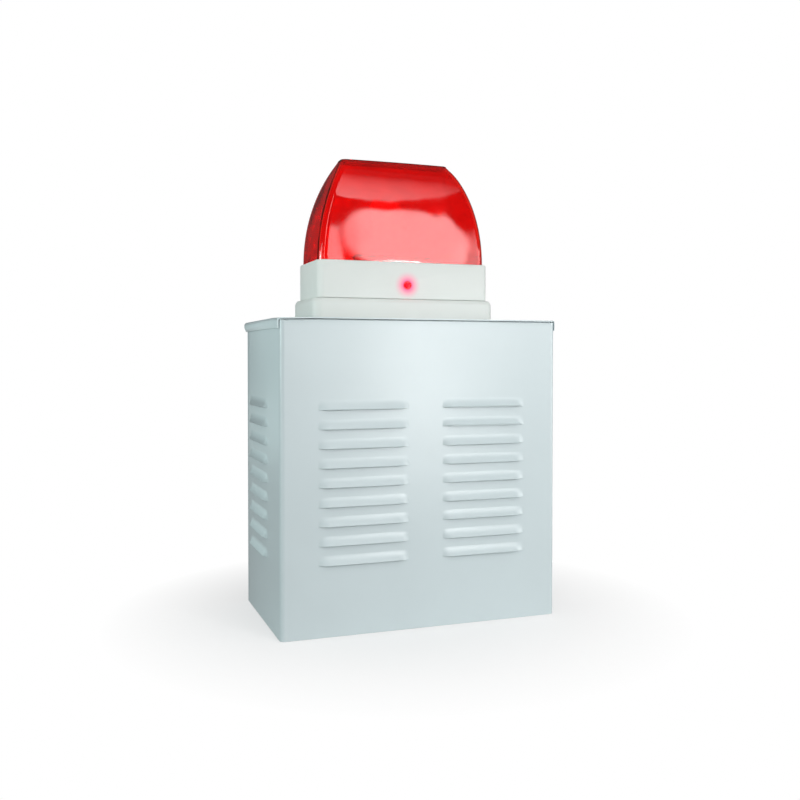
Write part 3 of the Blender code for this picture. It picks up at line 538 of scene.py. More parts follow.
def next_ring(bm, face, old, new, keep=False):
    """Extrude a rounded face from its old ring to a new one; returns the face there."""
    grown = bmesh.ops.extrude_face_region(bm, geom=[face])
    if not keep:
        bmesh.ops.delete(bm, geom=[face], context="FACES_ONLY")
    for vert in (item for item in grown["geom"] if isinstance(item, bmesh.types.BMVert)):
        side_x = math.copysign(1.0, vert.co.x)
        side_y = math.copysign(1.0, vert.co.y - BEACON_Y)
        turn_x = max(0.0, (abs(vert.co.x) - (old[0] - old[2])) / old[2])
        turn_y = max(0.0, (abs(vert.co.y - BEACON_Y) - (old[1] - old[2])) / old[2])
        vert.co = (side_x * (new[0] - new[2] + new[2] * turn_x),
                   BEACON_Y + side_y * (new[1] - new[2] + new[2] * turn_y), new[3])
    return next(item for item in grown["geom"] if isinstance(item, bmesh.types.BMFace))


def ring_stack(rings, segments=8, hoop=False):
    """A body drawn up through rings, with a lid at each end; a hoop's last ring joins its first."""
    bm = bmesh.new()
    face = rounded_face(bm, rings[0], segments)
    for index, (old, new) in enumerate(zip(rings, rings[1:])):
        face = next_ring(bm, face, old, new, keep=index == 0 and not hoop)
    if hoop:
        next_ring(bm, face, rings[-1], rings[0])
        lids = [item for item in bm.faces if len(item.verts) > 4]
        bmesh.ops.delete(bm, geom=lids, context="FACES_ONLY")
        bmesh.ops.remove_doubles(bm, verts=bm.verts, dist=MERGE)
    bmesh.ops.recalc_face_normals(bm, faces=bm.faces)
    return bm


# ---------------------------------------------------------------- cover

FRONT_LOUVRES = ((-0.1065, -0.0160), (0.0185, 0.1073))
SIDE_LOUVRE = (FRONT_Y + 0.054, FRONT_Y + 0.142)
# Shares of a hood's height and of a cheek's length where the sheet is divided for pressing
HOOD_STEPS = (0.0, 0.06, 0.14, 0.24, 0.36, 0.50, 0.66, 0.83, 1.0)
CHEEK_STEPS = (0.0, 0.05, 0.12, 0.22, 0.34, 0.48, 0.64, 0.82, 1.0)
# How far each row's lip is bent up, in millimetres, from the top row down
LEFT_LIP_GAPS = (0.25, 0.20, 0.25, 0.20, 0.15, 0.20, 0.15, 0.20, 0.15)
RIGHT_LIP_GAPS = (1.40, 1.45, 0.10, 0.05, 0.20, 0.05, 0.45, 0.05, 0.40)
MILLIMETRE = 0.001
FOLD_STEPS = 4
HOOK_CLEAR = 0.003
HOOK_SLOT = (FRONT_Y + 0.003, FRONT_Y + 0.0115)
CORNER_DIP = 0.0007


def corner_dip(x):
    """How far the case's top left corner is pressed down at x."""
    return CORNER_DIP * max(0.0, min(1.0, (-x - 0.115) / 0.022))


def hood_share(t):
    """How far out a hood stands, t of the way from its top to its lip."""
    return min(1.0, max(0.0, t)) ** 1.7


def cheek_share(along, start, end, cheek):
    """How far out a hood stands, by its distance from its nearer end."""
    t = min(1.0, max(0.0, min(along - start, end - along) / cheek))
    return 0.5 - 0.5 * math.cos(math.pi * t ** 0.75)


class SIREN_OT_cover_wrap(bpy.types.Operator):
    """Wrap the cover's front and sides from one sheet, with pressed louvres and a lip for the hooks"""

    bl_idname = "siren.cover_wrap"
    bl_label = "Cover wrap"

    def execute(self, context):
        case = context.scene.siren_case
        louvre = context.scene.siren_louvre
        rear = WRAP_HIGH.y
        top = WRAP_HIGH.z
        flange = HALF_WIDTH - case.return_flange
        plan = ((-flange, rear), (-HALF_WIDTH, rear), (-HALF_WIDTH, FRONT_Y), (HALF_WIDTH, FRONT_Y),
                (HALF_WIDTH, rear), (flange, rear))
        bm = bmesh.new()
        edges = drawn_line(bm, [(x, y, 0.0) for x, y in plan])[1]
        grow(bm, edges, (0.0, 0.0, top - case.fold))
        for y, radius, segments in ((FRONT_Y, case.bend, 8), (rear, case.sheet + 0.0008, 3)):
            upright = edges_where(bm, lambda co: near(abs(co.x), HALF_WIDTH) and near(co.y, y))
            round_off(bm, upright, radius, segments)
        lips = [louvre.first_lip - row * louvre.pitch for row in range(louvre.rows)]
        self.slice_louvres(bm, louvre, lips)
        self.press_louvres(bm, louvre, lips)
        self.fold_lip(bm, case, top)
        self.slot_lip(bm)
        for vert in bm.verts:
            if near(vert.co.z, top - case.fold) and abs(vert.co.x) > HALF_WIDTH - case.bend + SMALL:
                vert.co.z = top - 0.0002
            if vert.co.z > top - 0.004 and vert.co.y < FRONT_Y + 0.004:
                vert.co.z -= corner_dip(vert.co.x)
        face_towards(bm, Vector((0.0, -1.0, 0.0)))
        wrap = add_piece("cover_sheet", bm, "case_paint", "cover", ["cover_wrap"])
        thicken(wrap, case.sheet)
        settle(wrap)
        flatten = wrap.modifiers.new("flat sheet", "WEIGHTED_NORMAL")
        flatten.keep_sharp = True
        flatten.weight = 90
        return {"FINISHED"}

    def slice_louvres(self, bm, louvre, lips):
        """Cut the grid that the louvres are pressed from."""
        for lip in lips:
            for step in HOOD_STEPS:
                slice_at(bm, 2, lip + louvre.height * (1.0 - step))
        for axis, spans in ((0, FRONT_LOUVRES), (1, (SIDE_LOUVRE,))):
            for start, end in spans:
                for step in CHEEK_STEPS:
                    slice_at(bm, axis, start + louvre.cheek * step)
                    slice_at(bm, axis, end - louvre.cheek * step)

    def press_louvres(self, bm, louvre, lips):
        """Slit the sheet under each lip and press the hood above it outwards."""
        walls = [(1, FRONT_Y, -1.0, FRONT_LOUVRES[0], LEFT_LIP_GAPS),
                 (1, FRONT_Y, -1.0, FRONT_LOUVRES[1], RIGHT_LIP_GAPS),
                 (0, -HALF_WIDTH, -1.0, SIDE_LOUVRE, LEFT_LIP_GAPS),
                 (0, HALF_WIDTH, 1.0, SIDE_LOUVRE, LEFT_LIP_GAPS)]
        for axis, level, outward, (start, end), gaps in walls:
            along = 1 - axis

            def column():
                return [vert for vert in bm.verts if near(vert.co[axis], level)
                        and start - SMALL < vert.co[along] < end + SMALL]

            uncut = column()
            for lip in lips:
                on_lip = [vert for vert in uncut if near(vert.co.z, lip)]
                slit = dict.fromkeys(edge for vert in on_lip for edge in vert.link_edges
                                     if edge.other_vert(vert) in on_lip)
                bmesh.ops.split_edges(bm, edges=list(slit))
            hood = column()
            for row, lip in enumerate(lips):
                for vert in hood:
                    t = 1.0 - (vert.co.z - lip) / louvre.height
                    if not -SMALL < t < 1.0 + 0.001 or not near(vert.co[axis], level):
                        continue
                    if t > 0.999 and all(face.calc_center_median().z < lip for face in vert.link_faces):
                        continue
                    share = cheek_share(vert.co[along], start, end, louvre.cheek)
                    vert.co[axis] += outward * louvre.out * hood_share(t) * share
                    if t > 0.999:
                        vert.co.z += MILLIMETRE * gaps[row % len(gaps)] * share

    def fold_lip(self, bm, case, top):
        """Fold the front's top edge in under the top panel."""
        edges = edges_where(bm, lambda co: near(co.z, top - case.fold) and near(co.y, FRONT_Y))
        turns = [QUARTER * step / FOLD_STEPS for step in range(FOLD_STEPS + 1)]
        for before, after in zip(turns, turns[1:]):
            edges = grow(bm, edges, (0.0, case.fold * (math.cos(before) - math.cos(after)),
                                     case.fold * (math.sin(after) - math.sin(before))))
        grow(bm, edges, (0.0, case.hook_lip - case.fold, 0.0))

    def slot_lip(self, bm):
        """Cut the slots that the two hooks pass through."""
        hook_low, hook_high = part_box("cover_hook_left")
        start, end = hook_low.x - HOOK_CLEAR, hook_high.x + HOOK_CLEAR
        lip_z = WRAP_HIGH.z - SMALL * 10
        slots = ((start, end), (-end, -start))
        for slot in slots:
            for axis, place in ((0, slot[0]), (0, slot[1]), (1, HOOK_SLOT[0]), (1, HOOK_SLOT[1])):
                lip = [face for face in bm.faces if face.calc_center_median().z > lip_z]
                edges = dict.fromkeys(edge for face in lip for edge in face.edges)
                verts = dict.fromkeys(vert for face in lip for vert in face.verts)
                slice_at(bm, axis, place, [*lip, *edges, *verts])
        gone = []
        for face in bm.faces:
            middle = face.calc_center_median()
            if (middle.z > lip_z and HOOK_SLOT[0] < middle.y < HOOK_SLOT[1]
                    and any(low_x < middle.x < high_x for low_x, high_x in slots)):
                gone.append(face)
        bmesh.ops.delete(bm, geom=gone, context="FACES")


# ---------------------------------------------------------------- top panel and screws

TOP_FORWARD = 0.0030
TOP_FOLD = 0.0022
TOP_STEPS = 12
DRIP_STEPS = 5
DIP_SLICES = (-0.114, -0.118, -0.123, -0.128, -0.133, -0.138)
CABLE_HOLE = 0.0085
HOLE_BELOW = 0.006


class SIREN_OT_top_panel(bpy.types.Operator):
    """Fold the top panel, with drip flanges that swell out towards the wall"""

    bl_idname = "siren.top_panel"
    bl_label = "Top panel"

    def execute(self, context):
        sheet = context.scene.siren_case.sheet
        half = HALF_WIDTH + sheet + 0.0003
        bm = self.folded(half)
        face_towards(bm, Vector((0.0, 0.0, 1.0)))
        panel = add_piece("top_sheet", bm, "case_paint", "chassis", ["top_panel"])
        thicken(panel, sheet)
        settle(panel)
        low = TOP_HIGH.z - HOLE_BELOW
        hole = bore(CABLE_HOLE, 2 * HOLE_BELOW, (0.0, BEACON_Y, low), "Z", 40)
        cut(panel, self.corners(half) + bolt_bores(0.0027, 2 * HOLE_BELOW, low) + [hole])
        return {"FINISHED"}

    def folded(self, half):
        """The sheet with its two side flanges, half its width to each side."""
        drip = TOP_HIGH.z - TOP_LOW.z
        front = TOP_LOW.y - TOP_FORWARD
        depth = TOP_HIGH.y - front
        flange = drip - TOP_FOLD - 0.0002
        heights = [TOP_LOW.z + flange * (1.0 - step / DRIP_STEPS) for step in range(DRIP_STEPS, -1, -1)]
        section = [(-half, z) for z in heights] + [(-half, TOP_HIGH.z), (half, TOP_HIGH.z)]
        section += [(half, z) for z in reversed(heights)]
        bm = bmesh.new()
        edges = drawn_line(bm, [(x, front, z) for x, z in section])[1]
        for _ in range(TOP_STEPS):
            edges = grow(bm, edges, (0.0, depth / TOP_STEPS, 0.0))
        folds = edges_where(bm, lambda co: near(abs(co.x), half) and near(co.z, TOP_HIGH.z))
        round_off(bm, folds, TOP_FOLD, 4)
        for vert in bm.verts:
            rearward = (vert.co.y - front) / depth
            down = min(1.0, max(0.0, (TOP_HIGH.z - vert.co.z) / drip))
            if abs(vert.co.x) > half - 0.003:
                swell = 0.0012 * math.sin(math.pi * down) + (0.0010 * down + 0.0011) * (1.0 - down)
                vert.co.x += math.copysign(rearward ** 0.8 * swell, vert.co.x)
        for place in DIP_SLICES:
            slice_at(bm, 0, place)
        for vert in bm.verts:
            frontward = max(0.0, min(1.0, (-0.045 - vert.co.y) / 0.030))
            vert.co.z -= corner_dip(vert.co.x) * frontward
        return bm

    def corners(self, half):
        """Cutters that clip the flanges' front corners at a slant."""
        cutters = []
        for side in (-1, 1):
            corner = box_shape((-0.0060, -0.0060, TOP_HIGH.z - 0.014), (0.0060, 0.0060, TOP_HIGH.z + 0.004))
            bmesh.ops.rotate(corner, cent=(0, 0, 0), matrix=Matrix.Rotation(math.pi / 4, 3, "Z"),
                             verts=corner.verts)
            bmesh.ops.translate(corner, vec=(side * (half + 0.0018), FRONT_Y - 0.0032, 0.0),
                                verts=corner.verts)
            cutters.append(corner)
        return cutters


THREAD_PITCH = 0.0008
THREAD_DEPTH = 0.0003
BLADE_HALF = 0.00045


def cross_cutters(place, axis, reach, depth):
    """Two crossed blades, for the recess in a screw head whose top is at place."""
    blades = []
    for turn in (0.0, QUARTER):
        blade = box_shape((-reach, -BLADE_HALF, -depth), (reach, BLADE_HALF, depth))
        for matrix in (Matrix.Rotation(turn, 3, "Z"), TURNS[axis]):
            bmesh.ops.rotate(blade, cent=(0, 0, 0), matrix=matrix, verts=blade.verts)
        bmesh.ops.translate(blade, vec=place, verts=blade.verts)
        blades.append(blade)
    return blades


class SIREN_OT_screws(bpy.types.Operator):
    """Turn the screws, each with a domed head and a cross recess; the cover and beacon screws also get a
    threaded shank.
    """

    bl_idname = "siren.screws"
    bl_label = "Screws"

    def execute(self, context):
        for name in ("cover_screw_left", "cover_screw_right"):
            self.screw(name, "-Z", 0.0042, 0.0028, 0.0020, "cover")
        for name, axis in (("horn_screw_left", "-X"), ("horn_screw_right", "X")):
            low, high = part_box(name)
            self.screw(name, axis, 0.0045, high.x - low.x, 0.0, "chassis")
        for name in BEACON_BOLTS:
            self.screw(name, "Z", 0.0038, 0.0026, 0.0018, "chassis")
        return {"FINISHED"}

    def screw(self, name, axis, radius, head, shank, body):
        """One screw along an axis, its head at the end that the axis points to."""
        low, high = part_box(name)
        along = "XYZ".index(axis[-1])
        foot = (low + high) / 2
        tip = foot.copy()
        foot[along], tip[along] = low[along], high[along]
        if axis[0] == "-":
            foot, tip = tip, foot
        extent = high[along] - low[along]
        under = extent - head
        profile = [(0.0, 0.0)]
        if shank:
            turns = max(2, round(under / THREAD_PITCH))
            for index in range(turns):
                start = under * index / turns
                profile += [(shank - THREAD_DEPTH, start), (shank, start + under / turns * 0.5)]
            profile.append((shank - THREAD_DEPTH, under))
        profile += [(radius * 0.97, under), (radius, under + head * 0.1)]
        for t in (0.0, 0.2, 0.4, 0.6, 0.8):
            rise = 0.45 + 0.55 * math.sin(QUARTER * t)
            profile.append((radius * math.cos(QUARTER * t), under + head * rise))
        profile.append((0.0, extent))
        made = add_piece(name + "_turned", spun_shape(profile, foot, axis, 32), "zinc_plate", body, [name])
        cut(made, cross_cutters(tip, axis, radius * 0.55, head * 0.55))


# ---------------------------------------------------------------- beacon


class SIREN_OT_beacon_base(bpy.types.Operator):
    """Mould the white plinth and collar with their hollow undersides"""

    bl_idname = "siren.beacon_base"
    bl_label = "Beacon base"

    def execute(self, context):
        wall = context.scene.siren_beacon.wall
        collar_half = (COLLAR_HIGH.x, (COLLAR_HIGH.y - COLLAR_LOW.y) / 2)
        self.plinth(wall, collar_half)
        self.collar(wall, collar_half)
        return {"FINISHED"}

    def plinth(self, wall, collar_half):
        """The lower tier: rounded shoulders, a seat for the collar and a hollow underneath."""
        half = (PLINTH_HIGH.x, (PLINTH_HIGH.y - PLINTH_LOW.y) / 2)
        low = PLINTH_LOW.z
        high = PLINTH_HIGH.z
        shape = ring_stack([
            inset(half, 0.0006, 0.0094, low), inset(half, 0.0, 0.0100, low + 0.0006),
            inset(half, 0.0, 0.0100, high - 0.0042), inset(half, 0.0002, 0.0100, high - 0.0034),
            inset(half, 0.0016, 0.0096, high - 0.0008), inset(half, 0.0022, 0.0094, high - 0.0002),
            inset(half, 0.0030, 0.0090, high),
            inset(collar_half, 2 * wall, 0.0060, high), inset(collar_half, 2 * wall, 0.0060, high - 0.003),
            inset(half, wall, 0.0070, high - 0.006), inset(half, wall, 0.0070, low + wall)], 10)
        made = add_piece("plinth_moulding", shape, "beacon_white", "chassis", ["beacon_plinth"], 28.0)
        below = low - 0.003
        cut(made, bolt_bores(0.0023, 0.010, below) + [bore(0.0130, 0.010, (0.0, BEACON_Y, below), "Z", 40)])

    def collar(self, wall, half):
        """The upper tier: a hoop with a ledge for the lens and a hole for the lamp."""
        low = COLLAR_LOW.z
        high = COLLAR_HIGH.z
        lip = (LENS_HIGH.x + 0.0003, (LENS_HIGH.y - LENS_LOW.y) / 2 + 0.0003)
        ledge = LENS_LOW.z - 0.0025
        shape = ring_stack([
            inset(half, wall, 0.0050, low), inset(half, 0.0004, 0.0076, low),
            inset(half, 0.0, 0.0080, low + 0.0004), inset(half, 0.0, 0.0080, high - 0.0014),
            inset(half, 0.0003, 0.0078, high - 0.0006), inset(half, 0.0010, 0.0075, high - 0.0001),
            inset(half, 0.0016, 0.0074, high), inset(lip, 0.0, 0.0073, high),
            inset(lip, 0.0, 0.0073, ledge), inset(lip, 0.005, 0.0050, ledge),
            inset(lip, 0.005, 0.0050, ledge - 0.003), inset(half, wall, 0.0050, ledge - 0.006)],
            10, hoop=True)
        made = add_piece("collar_moulding", shape, "beacon_white", "chassis", ["beacon_collar"], 28.0)
        radius = (LAMP_HIGH.z - LAMP_LOW.z) / 2 + 0.0003
        place = (LAMP_MIDDLE.x, COLLAR_LOW.y - 0.004, LAMP_MIDDLE.z)
        cut(made, [bore(radius, 0.012, place, "Y", 32)])


LENS_END_ARC = 0.1966
LENS_DEPTH_ZERO = 0.1085
LENS_RIDGE = 0.0014
LENS_STEPS = 40
LENS_END_DROP = 0.0004
LENS_TOP_SLICES = (-0.5, -0.35, -0.2, 0.0, 0.2, 0.35, 0.5)


class SIREN_OT_lens(bpy.types.Operator):
    """Draw up the red lens: arched ends, and faces that lean in to a blunt ridge"""

    bl_idname = "siren.lens"
    bl_label = "Lens"

    def execute(self, context):
        root = (LENS_HIGH.x, (LENS_HIGH.y - LENS_LOW.y) / 2)
        base = COLLAR_HIGH.z
        full = LENS_HIGH.z - base
        rings = [inset(root, 0.0002, 0.0088, LENS_LOW.z), inset(root, 0.0002, 0.0088, base - 0.003)]
        for step in range(LENS_STEPS + 1):
            rise = (full - LENS_RIDGE) * math.sin(QUARTER * step / LENS_STEPS)
            half_x = root[0] - (LENS_END_ARC - math.sqrt(LENS_END_ARC ** 2 - rise ** 2))
            half_y = root[1] * math.sqrt(max(0.0, 1.0 - (rise / LENS_DEPTH_ZERO) ** 3))
            rings.append((half_x, half_y, min(0.0085, half_y * 0.6), base + rise))
        half_x, half_y, radius, z = rings[-1]
        for turn in (0.25, 0.5, 0.75, 1.0):
            draw_in = LENS_RIDGE * (1.0 - math.cos(QUARTER * turn))
            rings.append((half_x - draw_in * 0.8, half_y - draw_in * 1.3, max(0.002, radius - draw_in),
                          z + LENS_RIDGE * math.sin(QUARTER * turn)))
        lens = ring_stack(rings)
        for share in LENS_TOP_SLICES:
            slice_at(lens, 0, root[0] * share)
        for vert in lens.verts:
            high = max(0.0, (vert.co.z - base) / full)
            across = min(1.0, abs(vert.co.x) / (root[0] * 0.66))
            vert.co.z -= LENS_END_DROP * high ** 6 * across ** 2
        bottom = [face for face in lens.faces if face.calc_center_median().z < LENS_LOW.z + SMALL]
        bmesh.ops.delete(lens, geom=bottom, context="FACES_ONLY")
        made = add_piece("lens_shell", lens, "lens_red", "chassis", ["lens"], 60.0)
        thicken(made, context.scene.siren_beacon.lens_wall)
        settle(made, 60.0)
        return {"FINISHED"}


class SIREN_OT_beacon_inside(bpy.types.Operator):
    """Make the reflector, the strobe tube with its electrodes, and the tube's holders"""

    bl_idname = "siren.beacon_inside"
    bl_label = "Beacon inside"

    def execute(self, context):
        low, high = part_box("reflector")
        half = (high.x, (high.y - low.y) / 2)
        root = (high.x - 0.006, half[1] - 0.007)
        rings = [inset(root, 0.0, 0.006, low.z), (half[0] - 0.0045, half[1] - 0.005, 0.006, low.z + 0.002),
                 inset(half, 0.0025, 0.006, low.z + 0.006), inset(half, 0.0006, 0.006, high.z - 0.001),
                 inset(half, 0.0, 0.006, high.z - 0.0004), inset(half, 0.0004, 0.006, high.z),
                 inset(half, 0.0012, 0.006, high.z), inset(half, 0.0016, 0.006, high.z - 0.001),
                 inset(half, 0.0040, 0.005, low.z + 0.006), inset(root, 0.0, 0.005, low.z + 0.0028),
                 inset(root, 0.0015, 0.005, low.z + 0.0015)]
        add_piece("reflector_tray", ring_stack(rings, 6), "reflector_silver", "chassis", ["reflector"])
        low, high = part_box("strobe_tube")
        radius = (high.z - low.z) / 2
        span = high.x - low.x
        centre = (low + high) / 2
        end = [(0.0, 0.0), (0.0009, 0.0), (0.0009, 0.0018), (radius * 0.55, 0.0030),
               (radius * 0.8, 0.0045), (radius, 0.0070)]
        profile = end + [(wide, span - along) for wide, along in reversed(end)]
        add_piece("strobe_glass", spun_shape(profile, (low.x, centre.y, centre.z), "X", 32), "clear_glass",
                  "chassis", ["strobe_tube"])
        for name in ("tube_holder_left", "tube_holder_right"):
            low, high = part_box(name)
            made = add_piece(name + "_clip", box_shape(low, high, 0.0008), "beacon_white", "chassis", [name])
            cut(made, [box_shape((low.x - 0.001, centre.y - 0.0025, high.z - 0.0022),
                                 (high.x + 0.001, centre.y + 0.0025, high.z + 0.002), 0.0006)])
        return {"FINISHED"}


class SIREN_OT_status_lamp(bpy.types.Operator):
    """Turn the status lamp: a flanged clear red body with a domed nose"""

    bl_idname = "siren.status_lamp"
    bl_label = "Status lamp"

    def execute(self, context):
        radius = (LAMP_HIGH.z - LAMP_LOW.z) / 2
        span = LAMP_HIGH.y - LAMP_LOW.y
        profile = [(radius * 0.94 * math.sin(turn), radius * 0.9 * (1.0 - math.cos(turn)))
                   for turn in (QUARTER * step / 8 for step in range(9))]
        profile += [(radius * 0.94, span - 0.0030), (radius, span - 0.0028), (radius, span), (0.0, span)]
        shape = spun_shape(profile, (LAMP_MIDDLE.x, LAMP_LOW.y, LAMP_MIDDLE.z), "Y", 40)
        add_piece("lamp_body", shape, "lamp_red", "chassis", ["status_lamp"], 50.0)
        return {"FINISHED"}


# ---------------------------------------------------------------- inside the case

HORN_THROAT = 0.011
HORN_WALL = 0.0022
HORN_STEPS = 24
PLUG_STEPS = 20
BATTERY_SEAM = (0.0120, 0.0112)
BATTERY_VENTS = 6
TERMINAL_WAYS = 8


class SIREN_OT_horn(bpy.types.Operator):
    """Turn the horn bell, phase plug and driver of the siren"""

    bl_idname = "siren.horn"
    bl_label = "Horn siren"

    def execute(self, context):
        low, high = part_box("horn_bell")
        centre = (low + high) / 2
        mouth = (high.x - low.x) / 2
        outer = []
        for step in range(HORN_STEPS + 1):
            t = step / HORN_STEPS
            flare = (mouth - HORN_THROAT) * (1.0 - math.sin(QUARTER * t)) ** 1.4
            outer.append((HORN_THROAT + flare, (high.y - low.y) * t))
        inner = [(max(radius - HORN_WALL, 0.004), height) for radius, height in reversed(outer)]
        bell = outer + inner[:-1] + [(mouth - HORN_WALL * 0.8, 0.0), outer[0]]
        self.turn("horn_flare", bell, (centre.x, low.y, centre.z), 72, "horn_bell")
        low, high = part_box("phase_plug")
        deep = high.y - low.y
        plug = []
        for step in range(PLUG_STEPS):
            t = step / PLUG_STEPS
            plug.append(((high.x - low.x) / 2 * math.sin(math.pi * t ** 0.8) ** 0.75, deep * t))
        plug.append((0.0, deep))
        self.turn("phase_cone", plug, (centre.x, low.y, centre.z), 40, "phase_plug")
        low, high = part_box("driver_housing")
        deep = high.y - low.y
        body = [(0, 0), (0.018, 0), (0.020, 0.0004), (0.0308, 0.0058), (0.0322, 0.0068), (0.033, 0.009),
                (0.033, deep - 0.001), (0.0322, deep), (0, deep)]
        self.turn("driver_body", body, (centre.x, low.y, centre.z), 72, "driver_housing", fluted=True)
        low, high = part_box("driver_cap")
        deep = high.y - low.y
        cap = [(0, 0), (0.0292, 0), (0.030, 0.0008), (0.030, 0.0055), (0.0292, 0.0066),
               (0.0246, deep - 0.0006), (0.0236, deep), (0, deep)]
        self.turn("driver_lid", cap, (centre.x, low.y, centre.z), 72, "driver_cap")
        return {"FINISHED"}

    def turn(self, name, profile, place, steps, node, fluted=False):
        """One turned piece on the horn's axis; flutes are pressed into a fluted one's long wall."""
        shape = spun_shape(profile, place, "Y", steps)
        if fluted:
            wall = [face for face in shape.faces if face.calc_area() > 0.00003 and abs(face.normal.y) < 0.1]
            bmesh.ops.inset_individual(shape, faces=wall[::2], thickness=0.0005, depth=-0.0007,
                                       use_even_offset=True)
        add_piece(name, shape, "horn_plastic", "chassis", [node])


class SIREN_OT_battery(bpy.types.Operator):
    """Mould the battery with its lid seam, rounded corners and vent caps"""

    bl_idname = "siren.battery"
    bl_label = "Battery"

    def execute(self, context):
        low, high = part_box("battery")
        body = box_shape(low, high, 0.0022, 4)
        seam_low, seam_high = (high.z - below for below in BATTERY_SEAM)
        slice_at(body, 2, seam_low)
        slice_at(body, 2, seam_high)
        seam = [face for face in body.faces
                if seam_low < face.calc_center_median().z < seam_high and abs(face.normal.z) < 0.5]
        bmesh.ops.inset_region(body, faces=seam, thickness=0.0, depth=-0.0006, use_even_offset=True)
        made = add_piece("battery_moulding", body, "battery_case", "chassis", ["battery"])
        cutters = []
        for index in range(BATTERY_VENTS):
            x = low.x + 0.030 + index * (high.x - low.x - 0.060) / (BATTERY_VENTS - 1)
            groove = [(0.0052, 0), (0.0060, 0), (0.0060, 0.002), (0.0052, 0.002), (0.0052, 0)]
            cutters.append(spun_shape(groove, (x, high.y - 0.022, high.z - 0.0005), "Z", 32))
        cut(made, cutters)
        return {"FINISHED"}


class SIREN_OT_board_parts(bpy.types.Operator):
    """Make the parts on the control board: terminal block, relay, capacitor and fuse holder"""

    bl_idname = "siren.board_parts"
    bl_label = "Board parts"

    def execute(self, context):
        low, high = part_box("terminal_block")
        block = add_piece("terminal_strip", box_shape(low, high, 0.0006), "terminal_green", "chassis",
                          ["terminal_block"])
        cutters = []
        pitch = (high.x - low.x - 0.004) / TERMINAL_WAYS
        screw_z = (low.z + high.z) / 2 + 0.0008
        for way in range(TERMINAL_WAYS):
            x = low.x + 0.002 + pitch * (way + 0.5)
            cutters.append(bore(0.0026, 0.004, (x, low.y - 0.002, screw_z), "Y", 20))
            cutters.append(box_shape((x - 0.0022, low.y + 0.0025, low.z - 0.002),
                                     (x + 0.0022, low.y + 0.0080, low.z + 0.002)))
        cut(block, cutters)
        low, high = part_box("relay")
        relay = add_piece("relay_case", box_shape(low, high, 0.0010), "relay_blue", "chassis", ["relay"])
        cut(relay, [box_shape((low.x + 0.002, low.y - 0.001, low.z + 0.002),
                              (high.x - 0.002, low.y + 0.0003, high.z - 0.002))])
        self.capacitor()
        low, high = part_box("fuse_holder")
        holder = add_piece("fuse_carrier", box_shape(low, high, 0.0012), "switch_black", "chassis",
                           ["fuse_holder"])
        cut(holder, [box_shape((low.x + 0.004, low.y - 0.001, low.z + 0.0022),
                               (high.x - 0.004, low.y + 0.0045, high.z - 0.0022), 0.0006)])
        return {"FINISHED"}

    def capacitor(self):
        """A can with a groove near its foot and a cross scored in its top."""
        low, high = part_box("capacitor")
        centre = (low + high) / 2
        radius = (high.x - low.x) / 2
        tall = high.y - low.y
        can = [(0, 0), (radius - 0.0008, 0), (radius, 0.0006), (radius, 0.0024), (radius - 0.0007, 0.0031),
               (radius, 0.0038), (radius, tall - 0.0012), (radius - 0.0003, tall - 0.0005),
               (radius - 0.0011, tall), (radius - 0.0016, tall - 0.0003), (0, tall - 0.0003)]
        made = add_piece("capacitor_can", spun_shape(can, (centre.x, high.y, centre.z), "-Y", 48),
                         "switch_black", "chassis", ["capacitor"])
        vent = []
        for wide, deep in ((radius * 0.6, 0.0003), (0.0003, radius * 0.6)):
            vent.append(box_shape((centre.x - wide, low.y - 0.001, centre.z - deep),
                                  (centre.x + wide, low.y + 0.0006, centre.z + deep)))
        cut(made, vent)


# ---------------------------------------------------------------- stage

LENS_MIDDLE = (0.0, LENS_LOW.y, 0.39)
FRONT_MIDDLE = (0.0, FRONT_Y, 0.22)
BEND_MIDDLE = (-HALF_WIDTH, FRONT_Y, 0.24)
# Softboxes round an aim: azimuth and elevation in degrees, distance, size, and power in watts
SOFTBOXES = {
    "umbrella": (LENS_MIDDLE, (21.5, 10.5, 1.5), (0.50, 0.78), 5.6, 12.0),
    "overhead": (LENS_MIDDLE, (19.5, 56.0, 1.2), (0.86, 0.86), 6.8, 45.0),
    "left_card": (LENS_MIDDLE, (8.0, 4.5, 1.5), (0.12, 0.50), 0.8),
    "right_card": (LENS_MIDDLE, (38.0, 3.0, 1.3), (0.56, 0.66), 3.0),
    "crease_card": (LENS_MIDDLE, (-32.0, 22.0, 1.4), (0.12, 1.20), 2.2),
    "right_fill": (FRONT_MIDDLE, (62.0, 4.0, 1.1), (0.50, 0.50), 3.4),
    "bend_card": (BEND_MIDDLE, (-70.0, 5.0, 1.3), (0.40, 0.70), 2.8),
}
FLOOR_DROP = 0.0005
FLOOR_FADE = (0.12, 0.30)
CAMERA_PLACE = (-0.3268, -0.90865, 0.2616)
CAMERA_TILT = 88.823
CAMERA_TURN = -19.916
CAMERA_SHIFT = -0.0282


def at_angle(centre, azimuth, elevation, distance):
    """A point at a distance from a centre; azimuth 0 is straight out of the front, 90 to its right."""
    turn = math.radians(azimuth)
    rise = math.radians(elevation)
    out = Vector((math.sin(turn) * math.cos(rise), -math.cos(turn) * math.cos(rise), math.sin(rise)))
    return Vector(centre) + out * distance


def place_lamp(name, data, place, aim, roll=0.0):
    """Hang a lamp at a place, facing the aim and turned about its own line by roll degrees."""
    lamp = bpy.data.objects.new(name, data)
    bpy.context.scene.collection.objects.link(lamp)
    lamp.location = place
    facing = (Vector(aim) - Vector(place)).to_track_quat("-Z", "Y").to_matrix()
    lamp.rotation_euler = (facing @ Matrix.Rotation(math.radians(roll), 3, "Z")).to_euler()
    return lamp


